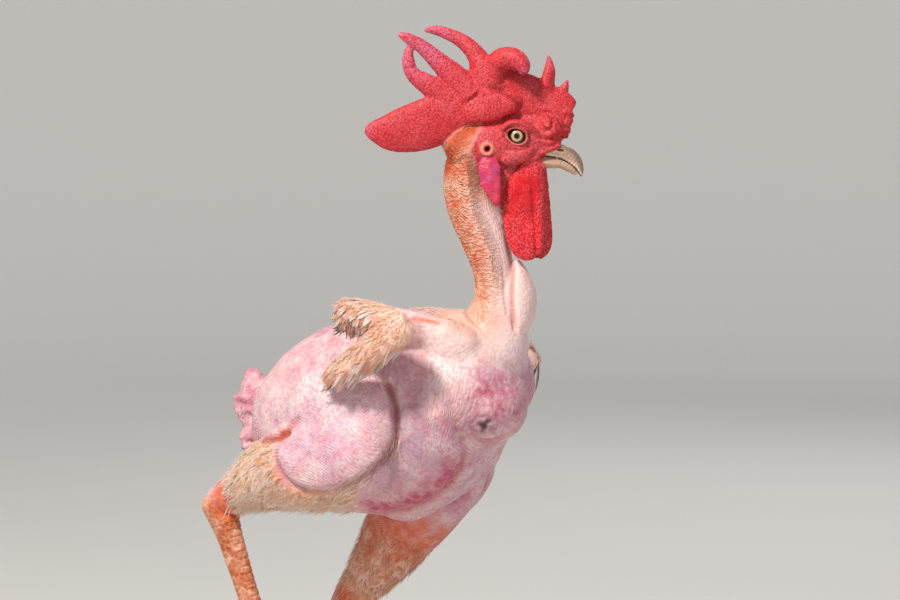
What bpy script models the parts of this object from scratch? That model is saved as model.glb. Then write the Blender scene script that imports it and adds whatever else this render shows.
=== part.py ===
"""A featherless cockerel at life size, in mid step, as a still museum model.

The trunk, neck and legs are modelled as one body of flesh and then parted with
thin cuts. The head, comb, bill, wattles, wings, shanks and feet are finer bodies
of their own that meet it face to face.
Sizes are in millimetres, +X is the way the trunk faces, +Y its left, +Z up.
"""

import math
import random

import bmesh
import bpy
import numpy as np
from mathutils import Matrix, Vector

MM = 0.001
GAP = 0.3
SIDES = {"right": -1, "left": 1}

# how fine each body of flesh is melted together, and its triangles
VOXEL = {"flesh": 3.0, "head": 1.05, "comb": 1.4, "wing": 1.8, "foot": 1.6}
FACES = {"flesh": 3000, "head": 1750, "comb": 1100, "arm": 220, "hand": 140, "foot": 600}

# the head and neck lie in an upright plane, turned to the left of the trunk
HEAD_TURN = math.radians(30.0)
HEAD_ORIGIN = Vector((49.5, -13.0, 290.0))

# the floor's height while the bird is being built, and the joints of its legs
FLOOR = -12.0
SHANK_LENGTH = 96.0
HIP = {"right": Vector((-8, -54, 213)), "left": Vector((-14, 50, 203))}
KNEE = {"right": Vector((4, -59, 193)), "left": Vector((9, 52, 172))}
HOCK = {"right": Vector((-110, -50, 150)), "left": Vector((-68, 45, 68.5))}
SHANK_LEAN = {"right": math.radians(19), "left": math.radians(40.5)}
SHANK_SPLAY = {"right": 0.04, "left": -0.17}


def clear_scene():
    """Removes the start-up objects and makes the two collections."""
    for obj in list(bpy.data.objects):
        bpy.data.objects.remove(obj)
    parts = bpy.data.collections.new("featherless_cockerel")
    bpy.context.scene.collection.children.link(parts)
    helpers = bpy.data.collections.new("cutters")
    helpers.hide_render = True
    bpy.context.scene.collection.children.link(helpers)
    return parts, helpers


PARTS, HELPERS = clear_scene()


# tools for making, joining and parting closed meshes

def mesh_object(name, form):
    """A helper object from a bmesh, which is split into triangles and freed."""
    bmesh.ops.recalc_face_normals(form, faces=form.faces)
    bmesh.ops.triangulate(form, faces=form.faces)
    mesh = bpy.data.meshes.new(name)
    form.to_mesh(mesh)
    form.free()
    obj = bpy.data.objects.new(name, mesh)
    HELPERS.objects.link(obj)
    obj.hide_render = True
    obj.display_type = "WIRE"
    return obj


def evaluated_mesh(obj):
    """The object's mesh as its modifiers or its curve make it."""
    bpy.context.view_layer.update()
    graph = bpy.context.evaluated_depsgraph_get()
    return bpy.data.meshes.new_from_object(obj.evaluated_get(graph))


def applied(obj):
    """The object with its modifiers made real."""
    mesh = evaluated_mesh(obj)
    old = obj.data
    obj.modifiers.clear()
    obj.data = mesh
    bpy.data.meshes.remove(old)
    return obj


def copy_of(obj, name):
    twin = bpy.data.objects.new(name, obj.data.copy())
    HELPERS.objects.link(twin)
    return twin


def remove(*objects):
    for obj in objects:
        bpy.data.objects.remove(obj)


def grown(obj, by=GAP):
    """A copy whose skin stands off the original by a small gap."""
    twin = copy_of(obj, obj.name + "_grown")
    form = bmesh.new()
    form.from_mesh(twin.data)
    form.normal_update()
    moves = [vert.normal * (by * MM) for vert in form.verts]
    for vert, move in zip(form.verts, moves):
        vert.co += move
    form.to_mesh(twin.data)
    form.free()
    return twin


def largest(obj):
    """Keeps only the largest closed surface of the object."""
    form = bmesh.new()
    form.from_mesh(obj.data)
    unseen = set(form.faces)
    groups = []
    while unseen:
        front = [unseen.pop()]
        group = list(front)
        while front:
            face = front.pop()
            for edge in face.edges:
                for near in edge.link_faces:
                    if near in unseen:
                        unseen.remove(near)
                        front.append(near)
                        group.append(near)
        groups.append(group)
    groups.sort(key=lambda faces: sum(face.calc_area() for face in faces))
    spare = [face for group in groups[:-1] for face in group]
    bmesh.ops.delete(form, geom=spare, context="FACES")
    form.to_mesh(obj.data)
    form.free()
    return obj


def boolean(obj, other, operation, solver="EXACT"):
    """Joins, cuts or keeps what two closed meshes share."""
    step = obj.modifiers.new("cut", "BOOLEAN")
    step.operation = operation
    step.solver = solver
    step.object = other
    return applied(obj)


def united(name, pieces):
    """One closed body from overlapping closed pieces, by one Boolean union."""
    body = pieces[0]
    body.name = name
    if len(pieces) == 1:
        return body
    group = bpy.data.collections.new(name + "_pieces")
    HELPERS.children.link(group)
    for piece in pieces[1:]:
        HELPERS.objects.unlink(piece)
        group.objects.link(piece)
    step = body.modifiers.new("union", "BOOLEAN")
    step.operation = "UNION"
    step.operand_type = "COLLECTION"
    step.collection = group
    applied(body)
    remove(*pieces[1:])
    bpy.data.collections.remove(group)
    return largest(body)


def parted(obj, cutter, name):
    """Takes what lies inside the cutter off obj, as a body of its own."""
    piece = copy_of(obj, name)
    wide = grown(cutter)
    boolean(piece, cutter, "INTERSECT")
    boolean(obj, wide, "DIFFERENCE")
    remove(wide, cutter)
    largest(obj)
    return largest(piece)


def stand_off(obj, *others, by=GAP, solver="EXACT"):
    """Cuts obj clear of what it grows from, leaving the gap between them."""
    for other in others:
        wide = grown(other, by)
        boolean(obj, wide, "DIFFERENCE", solver)
        remove(wide)
    return largest(obj)


def smooth_rows(rows, steps):
    """Rows of sizes along a form, filled in with a Catmull-Rom curve."""
    rows = np.array(rows, float)
    padded = np.vstack([2 * rows[0] - rows[1], rows, 2 * rows[-1] - rows[-2]])
    made = []
    for i in range(1, len(padded) - 2):
        before, here, after, beyond = padded[i - 1 : i + 3]
        for k in range(steps):
            t = k / steps
            made.append(
                0.5
                * (
                    2 * here
                    + (after - before) * t
                    + (2 * before - 5 * here + 4 * after - beyond) * t * t
                    + (3 * here - before - 3 * after + beyond) * t**3
                )
            )
    made.append(rows[-1])
    return np.array(made)


def loft(name, rows, sides=20, steps=4, up=(0, 0, 1), power=2.0, place=None):
    """A closed form through sections (x, y, z, half width, reach up, reach down).

    Each section stands square to the line of centres. Its half width lies along
    the level direction across that line, and up and down follow the up vector.
    """
    rows = smooth_rows(rows, steps)
    centres = rows[:, :3]
    ahead = np.gradient(centres, axis=0)
    form = bmesh.new()
    rings = []
    for centre, tangent, (wide, high, low) in zip(centres, ahead, rows[:, 3:]):
        tangent = Vector(tangent).normalized()
        across = Vector(up).cross(tangent).normalized()
        top = tangent.cross(across).normalized()
        ring = []
        for k in range(sides):
            turn = 2 * math.pi * k / sides
            c, s = math.cos(turn), math.sin(turn)
            flat = math.copysign(abs(c) ** (2 / power), c) * max(wide, 0.05)
            rise = math.copysign(abs(s) ** (2 / power), s) * max(high if s > 0 else low, 0.05)
            point = Vector(centre) + across * flat + top * rise
            if place:
                point = place(*point)
            ring.append(form.verts.new(point * MM))
        rings.append(ring)
    for first, second in zip(rings, rings[1:]):
        for k in range(sides):
            j = (k + 1) % sides
            form.faces.new((first[k], first[j], second[j], second[k]))
    for ring in (rings[0], rings[-1]):
        middle = form.verts.new(sum((vert.co for vert in ring), Vector()) / sides)
        for k in range(sides):
            form.faces.new((ring[k], ring[(k + 1) % sides], middle))
    return mesh_object(name, form)


def limb(name, rows, sides=14, steps=4, flat=1.0, up=(0, 0, 1), place=None):
    """A tapering limb through (x, y, z, radius), with its width scaled by flat."""
    sections = [(x, y, z, r * flat, r, r) for x, y, z, r in rows]
    return loft(name, sections, sides, steps, up, place=place)


def tube(name, rows, fineness=2):
    """A round tapering tube along points (x, y, z, radius), as a closed mesh."""
    curve = bpy.data.curves.new(name, "CURVE")
    curve.dimensions = "3D"
    curve.bevel_depth = MM
    curve.bevel_resolution = fineness
    curve.use_fill_caps = True
    spline = curve.splines.new("POLY")
    spline.points.add(len(rows) - 1)
    for point, (x, y, z, radius) in zip(spline.points, rows):
        point.co = (x * MM, y * MM, z * MM, 1)
        point.radius = radius
    drawn = bpy.data.objects.new(name, curve)
    HELPERS.objects.link(drawn)
    mesh = evaluated_mesh(drawn)
    remove(drawn)
    form = bmesh.new()
    form.from_mesh(mesh)
    bmesh.ops.remove_doubles(form, verts=form.verts, dist=0.00001)
    bpy.data.meshes.remove(mesh)
    return mesh_object(name, form)


def moulded(name, form, radii, centre, tilt, place):
    """Scales a unit form, pitches it nose-up by tilt degrees and sets it in place."""
    turn = Matrix.Rotation(math.radians(-tilt), 3, "Y")
    for vert in form.verts:
        point = Vector(centre) + turn @ Vector(v * r for v, r in zip(vert.co, radii))
        vert.co = (place(*point) if place else point) * MM
    return mesh_object(name, form)


def ellipsoid(name, centre, radii, tilt=0.0, place=None, fineness=3):
    form = bmesh.new()
    bmesh.ops.create_icosphere(form, subdivisions=fineness, radius=1.0)
    return moulded(name, form, radii, centre, tilt, place)


def block(name, low, high):
    form = bmesh.new()
    bmesh.ops.create_cube(form, size=1.0)
    low, high = Vector(low), Vector(high)
    return moulded(name, form, high - low, (low + high) / 2, 0, None)


def half_space(name, point, normal, reach, depth):
    """A block that fills the side of a plane that its normal points to."""
    form = bmesh.new()
    bmesh.ops.create_cube(form, size=1.0)
    turn = Vector(normal).to_track_quat("Z", "Y")
    for vert in form.verts:
        x, y, z = vert.co
        vert.co = (Vector(point) + turn @ Vector((x * reach, y * reach, (z + 0.5) * depth))) * MM
    return mesh_object(name, form)


def ring_ridge(centre, radii, thick, side, tilt=0.0):
    """A ring of skin about an opening on the side of the head."""
    bpy.ops.mesh.primitive_torus_add(
        major_segments=24, minor_segments=8, major_radius=1.0, minor_radius=thick / radii[0]
    )
    drawn = bpy.context.object
    form = bmesh.new()
    form.from_mesh(drawn.data)
    remove(drawn)
    for vert in form.verts:
        x, y, z = vert.co
        vert.co = (x, z * radii[0], y)
    spot = (centre[0], centre[1] * side, centre[2])
    return moulded("ring", form, (radii[0], 1.0, radii[1]), spot, tilt, head_place)


def head_place(forward, side, height):
    """A point of the head's own frame in the frame of the whole bird."""
    c, s = math.cos(HEAD_TURN), math.sin(HEAD_TURN)
    return HEAD_ORIGIN + Vector((c * forward - s * side, s * forward + c * side, height))


def fused(name, pieces, voxel, rounding, faces):
    """Melts overlapping pieces into one smooth body of about so many triangles."""
    form = bmesh.new()
    for piece in pieces:
        form.from_mesh(piece.data)
    body = mesh_object(name, form)
    remove(*pieces)
    melt = body.modifiers.new("melt", "REMESH")
    melt.mode = "VOXEL"
    melt.voxel_size = voxel * MM
    soften = body.modifiers.new("soften", "SMOOTH")
    soften.factor = 0.5
    soften.iterations = rounding
    applied(body)
    thin = body.modifiers.new("thin", "DECIMATE")
    thin.ratio = min(1.0, faces / (2 * len(body.data.polygons)))
    thin.use_collapse_triangulate = True
    return largest(applied(body))


# the trunk and neck

TRUNK_ROWS = [
    (-106, 0, 205, 12, 12, 12),
    (-96, 0, 205, 29, 28, 30),
    (-75, 0, 206, 43, 47, 49),
    (-48, 0, 208, 53, 60, 63),
    (-18, 0, 211, 58, 66, 69),
    (10, 0, 215, 60, 67, 71),
    (34, 0, 221, 59, 65, 61),
    (54, 0, 229, 55, 61, 44),
    (70, 0, 237, 48, 53, 33),
    (84, 0, 244, 37, 42, 25),
    (94, 0, 248, 18, 22, 14),
]
TAIL_ROWS = [
    (-101, 0, 208, 13),
    (-107, 0, 217, 11.5),
    (-112, 0, 226, 9.5),
    (-115, 0, 232.5, 6.5),
    (-116, 0, 236, 3),
]
# forward, side, height, half width, reach back and reach ahead, in the head's frame
NECK_ROWS = [
    (22, 0, -40, 26, 30, 30),
    (27, 0, -22, 22, 25, 26),
    (29.5, 0, -5, 16, 17, 18),
    (29.5, 0, 9, 12.8, 13, 13),
    (28.5, 0, 22, 13, 13.5, 13.5),
    (25.5, 0, 34, 13.6, 15, 15),
    (20.5, 0, 47, 14, 15.3, 15.3),
    (15, 0, 60, 14.2, 15.8, 15.8),
    (11, 0, 74, 14.2, 15.4, 15.4),
    (11, 0, 88, 14, 14.5, 14.5),
    (16, 0, 99, 12.5, 12.5, 12.5),
]
THROAT_ROWS = [
    (41, 0, 27, 5, 4, 4),
    (43, 0, 18, 10, 9, 9),
    (44, 0, 5, 13, 13.5, 13.5),
    (42.5, 0, -9, 14, 13.5, 13.5),
    (38, 0, -22, 14, 11, 11),
    (33, 0, -34, 11, 8, 8),
]


def trunk_pieces():
    """The barrel of the body, breast, crop, keel, tail stump and vent."""
    pieces = [loft("barrel", TRUNK_ROWS, sides=28, power=2.15)]
    for side in (-1, 1):
        pieces.append(ellipsoid("breast", (33, 14 * side, 200), (39, 29, 40), 38))
        pieces.append(ellipsoid("shoulder", (52, 30 * side, 261), (28, 17, 19), 10))
    pieces.append(ellipsoid("crop", (73, -9, 222), (29, 31, 27)))
    pieces.append(ellipsoid("keel", (20, 0, 160), (34, 9, 17), 28))
    pieces.append(ellipsoid("tail_stump", (-108, 0, 211), (20, 16, 18), -18))
    pieces.append(limb("tail_tip", TAIL_ROWS))
    pieces.append(ellipsoid("vent", (-104, 0, 189), (18, 19, 17)))
    return pieces


def neck_tube():
    return loft("neck_tube", NECK_ROWS, sides=24, up=(-1, 0, 0), place=head_place)


def neck_pieces():
    """The neck's tube and the loose pale skin that hangs full at its front."""
    throat = loft("throat", THROAT_ROWS, sides=20, up=(-1, 0, 0), place=head_place)
    return [neck_tube(), throat]


def head_cutter():
    """The room of the head, above a face across the top of the neck."""
    face = head_place(14.5, 0, 84.5)
    normal = head_place(20.0, 0, 99.5) - face
    return half_space("head_room", face, normal, 130, 100)


def neck_cutter():
    """The room of the neck, ahead of and above a face across its root."""
    rows = [
        (28.0, 0, 0, 27, 36, 36),
        (34.0, 0, 12, 26, 34, 34),
        (30.0, 0, 50, 26, 40, 40),
        (28.0, 0, 84, 26, 40, 40),
        (26.0, 0, 130, 26, 40, 40),
    ]
    return loft("neck_room", rows, sides=16, steps=1, up=(-1, 0, 0), place=head_place)


def tail_cutter():
    rows = [(-101, 0, 215, 26, 28, 15), (-118, 0, 226, 26, 28, 22), (-146, 0, 244, 26, 28, 28)]
    return loft("tail_room", rows, sides=16, steps=1)


# legs

def thigh_pieces():
    """Thigh and drumstick of each leg, down to the hock."""
    right = [
        (14, -53, 200, 24),
        (*KNEE["right"], 33),
        (-20, -57, 185, 34),
        (-48, -56, 178, 29.5),
        (-74, -53, 168, 21.5),
        (-93, -51, 158.5, 15),
        (*HOCK["right"], 11.5),
        (-116, -50, 147, 8),
    ]
    left = [
        (12, 50, 190, 25),
        (*KNEE["left"], 32.5),
        (-13, 50, 142, 30),
        (-29, 49, 120, 25),
        (-44, 48, 99.5, 19.5),
        (-57, 46.5, 83, 15.3),
        (*HOCK["left"], 12.5),
        (-73, 45, 62, 8),
    ]
    return [
        ellipsoid("thigh", HIP["right"], (43, 25, 41)),
        ellipsoid("thigh", HIP["left"], (41, 24, 42)),
        limb("drumstick", right, sides=20, flat=0.86),
        limb("drumstick", left, sides=20, flat=0.86, up=(-1, 0, 0)),
    ]


def leg_cutter(side):
    """The room of one whole leg, which parts it from the trunk."""
    y = 78 * SIDES[side]
    if side == "right":
        rows = [
            (46, y, 214, 40, 26, 26),
            (36, y, 212, 41, 36, 38),
            (10, y, 208, 42, 46, 50),
            (-30, y, 196, 44, 52, 60),
            (-70, y, 176, 50, 46, 54),
            (-96, y, 158, 60, 40, 46),
            (-140, y, 140, 60, 40, 46),
        ]
        return loft("leg_room", rows, sides=16, steps=1)
    rows = [
        (14, y, 252, 40, 30, 30),
        (10, y, 236, 42, 44, 42),
        (2, y, 196, 43, 54, 52),
        (-14, y, 152, 50, 56, 54),
        (-36, y, 116, 64, 50, 50),
        (-66, y, 76, 64, 46, 46),
        (-90, y, 44, 64, 46, 46),
    ]
    return loft("leg_room", rows, sides=16, steps=1, up=(-1, 0, 0))


def shank_way(side):
    """Which way the shank runs, down from the hock."""
    lean = SHANK_LEAN[side]
    return Vector((math.sin(lean), SHANK_SPLAY[side], -math.cos(lean))).normalized()


def hock_cutter(side):
    """The room of the shank, below a face that halves the bend at the hock."""
    above = (KNEE[side] - HOCK[side]).normalized()
    return half_space("hock_face", HOCK[side], shank_way(side) - above, 500, 300)


def foot_cutter(side):
    """The room of the foot, below a face across the foot of the shank."""
    down = shank_way(side)
    return half_space("foot_face", HOCK[side] + down * SHANK_LENGTH * 0.9, down, 500, 300)


# heading from straight ahead in degrees, toe length, claw length and root radius
TOES = {
    "middle": (0, 60, 15, 5.7),
    "inner": (38, 44, 12, 5.2),
    "outer": (-33, 48, 12, 5.1),
    "hind": (165, 23, 10, 4.7),
}
# how far the toes of the foot that pushes off point below level, in degrees
PUSHING = {"middle": (62, 72), "inner": (70, 84), "outer": (68, 82), "hind": (52, 74)}
FOOT_HEADING = {"right": math.radians(4), "left": math.radians(-4)}
TOE_STEPS = 6
CLAW_SINK = 2.4


def toe_heading(side, name):
    """The level direction in which a toe points."""
    turn = FOOT_HEADING[side] - SIDES[side] * math.radians(TOES[name][0])
    return Vector((math.cos(turn), math.sin(turn), 0))


def toe_rows(side, name):
    """Centres and radii down one toe, fuller at each of its pads."""
    _, length, _, root = TOES[name]
    level = toe_heading(side, name)
    point = HOCK[side] + shank_way(side) * SHANK_LENGTH
    rows = [(*point, root)]
    for k in range(1, TOE_STEPS + 1):
        share = k / TOE_STEPS
        radius = root * (1 - 0.34 * share) + (0.35 if k % 2 else -0.25)
        if side == "right":
            drop = math.radians(np.interp(share, (0, 1), PUSHING[name]))
            down = Vector((0, 0, math.sin(drop)))
            point = point + (level * math.cos(drop) - down) * (length / TOE_STEPS)
        else:
            point = point + level * (length / TOE_STEPS)
            point.z = FLOOR + 0.9 * radius + 2.0 * (1 - share) ** 3
        rows.append((*point, radius))
    return rows


def toe(side, name):
    rows = toe_rows(side, name)
    tip, before = Vector(rows[-1][:3]), Vector(rows[-2][:3])
    rows.append((*(tip + (tip - before).normalized() * 2.2), TOES[name][3] * 0.5))
    return tube("toe", smooth_rows(rows, 2), fineness=4)


def foot_pieces(side):
    """The hock's knuckle, the shank and the four toes."""
    down = shank_way(side)
    front = (-down.z, 0, down.x)
    shares = [
        (-0.06, 9.0, 9.5),
        (0.0, 10.8, 13.0),
        (0.09, 9.6, 11.8),
        (0.22, 7.6, 9.7),
        (0.42, 6.6, 8.6),
        (0.64, 6.1, 7.8),
        (0.84, 6.9, 7.9),
        (0.96, 8.8, 8.6),
        (1.03, 7.6, 6.4),
    ]
    rows = [(*(HOCK[side] + down * SHANK_LENGTH * s), w, d, d) for s, w, d in shares]
    return [loft("shank", rows, sides=20, up=front)] + [toe(side, name) for name in TOES]


def claw(side, name):
    """One curved horn claw, set in the end of its toe."""
    _, _, length, root = TOES[name]
    level = toe_heading(side, name)
    point = Vector(toe_rows(side, name)[-1][:3]) + Vector((0, 0, 0.8))
    start = PUSHING[name][1] - 14 if side == "right" else -12
    steps = 5
    rows = []
    for k in range(steps + 1):
        share = k / steps
        rows.append((*point, root * (0.5 - 0.42 * share)))
        drop = math.radians(start + 46 * share)
        way = level * math.cos(drop) - Vector((0, 0, math.sin(drop)))
        point = point + way * ((length + CLAW_SINK) / steps)
    return tube("claw", rows, fineness=1)


def spur(side):
    """The blunt horn spur on the inner back of the shank."""
    start = HOCK[side] + shank_way(side) * SHANK_LENGTH * 0.68
    way = Vector((-0.72 * math.cos(SHANK_LEAN[side]), -0.62 * SIDES[side], -0.1)).normalized()
    rows = []
    for k, radius in enumerate((4.4, 4.2, 3.1, 1.9, 0.8)):
        rows.append((*(start + way * (3.0 + 3.4 * k) + Vector((0, 0, 0.25 * k * k))), radius))
    return tube("spur", rows, fineness=2)


# wings

# shoulder, elbow, wrist and tip of each stunted, half folded wing
WING_JOINTS = {
    "right": [(52, -40, 270), (4, -72, 285), (54, -84, 278), (-3, -84, 241)],
    "left": [(52, 40, 266), (4, 70, 262), (52, 88, 246), (-8, 86, 210)],
}
VANE_THICKNESS = 0.7


def wing_joints(side):
    return [Vector(joint) for joint in WING_JOINTS[side]]


def bone_rows(start, end, stations, bow, side):
    """Rows (x, y, z, radius) from shares along a bone, bowed outwards and up."""
    rows = []
    for share, radius in stations:
        bulge = math.sin(math.pi * min(max(share, 0), 1))
        offset = Vector((0, bow[0] * SIDES[side], bow[1])) * bulge
        rows.append((*(start.lerp(end, share) + offset), radius))
    return rows


def wing_arm(side):
    """Upper arm and forearm."""
    shoulder, elbow, wrist, _ = wing_joints(side)
    upper = bone_rows(shoulder, elbow, [(0, 13), (0.4, 10.5), (0.75, 9), (1, 8.5)], (0, 3), side)
    stations = [(-0.08, 6), (0, 8.5), (0.4, 9.5), (0.8, 10.5), (0.98, 10)]
    fore = bone_rows(elbow, wrist, stations, (2, 2), side)
    return [
        limb("upper_arm", upper, flat=0.85, up=(0.2, 0, 1)),
        limb("forearm", fore, flat=0.7, up=(0.2, 0, 1)),
    ]


def wing_hand(side):
    _, _, wrist, tip = wing_joints(side)
    stations = [(-0.1, 7.5), (0.04, 11.5), (0.3, 11), (0.6, 9.4), (0.86, 7.6), (1, 4.5)]
    rows = bone_rows(wrist, tip, stations, (2, -2), side)
    return [limb("hand", rows, flat=0.62, up=(0.2, 0, 1))]


def vane(root, way, face, length, width):
    """A short feather as a flat tapered lock, its root sunk in the skin.

    It lies with its broad side to the face direction and bends back against it.
    """
    way = way.normalized()
    rows = []
    for share, girth in ((-0.22, 0.45), (0.1, 0.9), (0.5, 1.0), (0.82, 0.62), (1.0, 0.16)):
        point = root + way * (length * share) - face * (0.1 * length * share * share)
        rows.append((*point, width * girth, VANE_THICKNESS * girth, VANE_THICKNESS * girth))
    return loft("vane", rows, sides=4, steps=1, up=face)


def vane_row(draw, start, end, count, length, width, way, face, lift):
    """A row of vanes rooted along a line, lying one way with small differences."""
    made = []
    for k in range(count):
        root = start.lerp(end, (k + 0.5) / count) + lift
        lean = Vector((draw.uniform(-0.1, 0.1), draw.uniform(-0.06, 0.06), draw.uniform(-0.14, 0.14)))
        size = length * draw.uniform(0.85, 1.15)
        made.append(vane(root, way + lean, face, size, width * draw.uniform(0.9, 1.1)))
    return made


def arm_vanes(side):
    """Two tiers of short feathers that fall back from the forearm."""
    draw = random.Random(21)
    out = SIDES[side]
    _, elbow, wrist, _ = wing_joints(side)
    face = Vector((0.1, out, 0.25)).normalized()
    low, high = Vector((-0.62, 0, -0.78)), Vector((-0.9, 0, -0.42))
    lower = vane_row(draw, elbow, wrist, 7, 23, 3.9, low, face, Vector((0, 4.2 * out, -4)))
    upper = vane_row(draw, elbow, wrist, 6, 19, 3.9, high, face, Vector((-2, 5.6 * out, 2.5)))
    return lower + upper


def hand_vanes(side):
    """Short feathers along the hand's lower edge, and a tuft at its tip."""
    draw = random.Random(22)
    out = SIDES[side]
    _, _, wrist, tip = wing_joints(side)
    face = Vector((0.1, out, 0.2)).normalized()
    start = wrist.lerp(tip, 0.12)
    low, back = Vector((-0.78, 0, -0.62)), Vector((-0.93, 0, -0.3))
    lower = vane_row(draw, start, tip, 7, 14, 3.0, low, face, Vector((0, 3.6 * out, -4.6)))
    tuft = vane_row(
        draw, tip + Vector((0, 0, 4)), tip + Vector((3, 0, -4)), 4, 12, 2.6, back, face, Vector()
    )
    return lower + tuft


# head

HEAD_ROWS = [
    (-3, 0, 99, 6, 6, 6),
    (1, 0, 101, 10.5, 10, 11),
    (10, 0, 104, 13.8, 13.5, 17),
    (22, 0, 105.5, 15, 15.5, 18),
    (34, 0, 106, 15.2, 15.5, 18),
    (45, 0, 106, 14, 14, 15.5),
    (55, 0, 105, 11.4, 13, 11.5),
    (63, 0, 104, 8.8, 11.5, 8),
    (69, 0, 103.2, 6.8, 9, 6),
    (73, 0, 102.4, 4.6, 5.5, 4),
]
EYE_SPOT = (44.5, 8.4, 109.3)
EYE_RADII = (8.0, 7.0, 8.0)
LID_OPENING = (6.5, 5.3)
EAR_SPOT = (24.3, 14.4, 101.8)


def beside(spot, side, out=0.0, ahead=0.0):
    """A spot of the head's right half, carried to either side."""
    return (spot[0] + ahead, (spot[1] + out) * SIDES[side], spot[2])


def head_pieces():
    """The skull's skin with brow, cheek, lids, ear rims and corners of the mouth."""
    pieces = [
        loft("skull", HEAD_ROWS, sides=28, power=2.1, place=head_place),
        neck_tube(),
        ellipsoid("comb_seat", (52, 0, 115), (24, 7, 11), 0, head_place),
        ellipsoid("chin", (50, 0, 92), (13, 8.5, 7), 12, head_place),
    ]
    for out in (-1, 1):
        brow = [
            (33, 12.0 * out, 114, 2.2),
            (40, 12.8 * out, 118, 3.2),
            (50, 11.6 * out, 117, 3.0),
            (58, 8.6 * out, 111, 2.0),
        ]
        mouth = [
            (50, 10.0 * out, 93.8, 1.6),
            (56, 8.8 * out, 95.2, 2.1),
            (61, 7.4 * out, 96.0, 1.6),
        ]
        pieces += [
            ellipsoid("cheek", (43, 9.5 * out, 98), (14, 6, 6), 12, head_place),
            limb("brow", brow, place=head_place),
            limb("mouth_corner", mouth, place=head_place),
            ring_ridge((EYE_SPOT[0], EYE_SPOT[1] + 5, EYE_SPOT[2]), (7.0, 6.0), 1.9, out),
            ring_ridge(EAR_SPOT, (3.4, 3.4), 1.7, out),
        ]
    return pieces


def eye(side):
    return ellipsoid("eye", beside(EYE_SPOT, side), EYE_RADII, 0, head_place, fineness=2)


def head_openings(side):
    """What is cut away between the lids and in the ear."""
    window = (LID_OPENING[0], 6.8, LID_OPENING[1])
    return [
        ellipsoid("window", beside(EYE_SPOT, side, 9), window, 0, head_place),
        ellipsoid("ear_hole", beside(EAR_SPOT, side, 2.2, 0.5), (2.1, 6, 2.3), 0, head_place, 2),
    ]


BILL_TOP_ROWS = [
    (56, 0, 98.4, 7.6, 6.6, 5.6),
    (64, 0, 98.4, 7.0, 6.4, 5.8),
    (71, 0, 97.8, 6.1, 6.2, 5.8),
    (77, 0, 95.2, 5.0, 5.6, 5.8),
    (82.2, 0, 91.2, 3.8, 4.4, 4.8),
    (85.8, 0, 86.8, 2.2, 2.6, 2.8),
    (87.0, 0, 83.0, 0.9, 1.1, 1.1),
]
BILL_BOTTOM_ROWS = [
    (54, 0, 91.2, 6.8, 3.4, 5.0),
    (62, 0, 90.8, 6.0, 3.4, 4.8),
    (70, 0, 90.0, 4.9, 3.2, 4.2),
    (76, 0, 87.8, 3.6, 2.6, 3.0),
    (80.8, 0, 85.4, 1.7, 1.2, 1.4),
]


def bill_upper():
    """The hooked upper half of the bill with its nostrils."""
    body = loft("bill_upper", BILL_TOP_ROWS, sides=12, steps=2, power=1.8, place=head_place)
    for out in (-1, 1):
        slot = ellipsoid("nostril", (71.5, 6.0 * out, 100), (3, 1.6, 1), -14, head_place, 1)
        boolean(body, slot, "DIFFERENCE")
        remove(slot)
    return body


def bill_lower():
    return loft("bill_lower", BILL_BOTTOM_ROWS, sides=12, steps=2, power=1.8, place=head_place)


# comb, wattles and ear lobes

# forward, side, height, half thickness, reach up and reach down
COMB_ROWS = [
    (-56, -7, 114.5, 1.6, 2.5, 2.5),
    (-50, -7, 113.5, 3.6, 7.6, 7.4),
    (-38, -6.5, 112.8, 4.8, 13.4, 13.2),
    (-22, -5.5, 115.8, 5.4, 16.6, 16.2),
    (-8, -4.5, 120.8, 5.8, 16.8, 16.4),
    (6, -3.5, 127.0, 6.0, 15.4, 14.2),
    (20, -2.0, 133.0, 6.4, 17.0, 15.5),
    (34, 0.0, 136.0, 6.6, 19.5, 18.0),
    (47, 1.5, 134.5, 6.6, 17.5, 18.0),
    (59, 1.5, 130.0, 6.2, 16.5, 18.0),
    (70, 0.5, 123.5, 5.8, 17.0, 17.5),
    (77, 0, 119.0, 5.0, 13.5, 13.0),
    (80.5, 0, 118.0, 2.6, 6.5, 7.5),
]
# each point of the comb from its root: forward, side, height, radius
COMB_POINTS = [
    [
        (0, -4, 134, 8),
        (-14, -4, 143.5, 7.2),
        (-24.5, -4, 151, 5),
        (-27.5, -4, 160, 4.2),
        (-26.8, -4, 167, 2.8),
        (-25, -4, 171.5, 1),
    ],
    [
        (14, -3, 136, 11),
        (4, -3, 148, 9),
        (-8.5, -3, 160, 6.3),
        (-20, -4, 170, 4.6),
        (-29, -5, 175, 3.4),
        (-34, -5, 177, 1.4),
    ],
    [
        (26, -2, 138, 12),
        (22, -2, 152, 9.5),
        (17.5, -1, 163, 6.6),
        (8, 0, 172.5, 5),
        (-5, 1, 178.5, 3.8),
        (-12, 1, 179.8, 2.8),
        (-17, 1, 179.4, 1.2),
    ],
    [
        (60, 1, 134, 9),
        (63.5, 1, 143, 7.4),
        (65.5, 0, 152, 4.4),
        (65.5, 0, 159, 2.4),
        (64.7, 0, 163.5, 0.8),
    ],
    [(68, 0, 130, 7), (73, 0, 137, 4.6), (76, 0, 142.5, 2.8), (77.4, 0, 147, 0.9)],
]
# the fourth point folds over towards the bird's right
FOLDED_POINT = [
    (27, -1, 146, 9),
    (30, -3, 156, 8.2),
    (36, -7, 161, 7.8),
    (43, -12, 160.5, 7.2),
    (47.5, -15.5, 156.5, 5.6),
    (49, -17, 151.5, 3),
]


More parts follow.
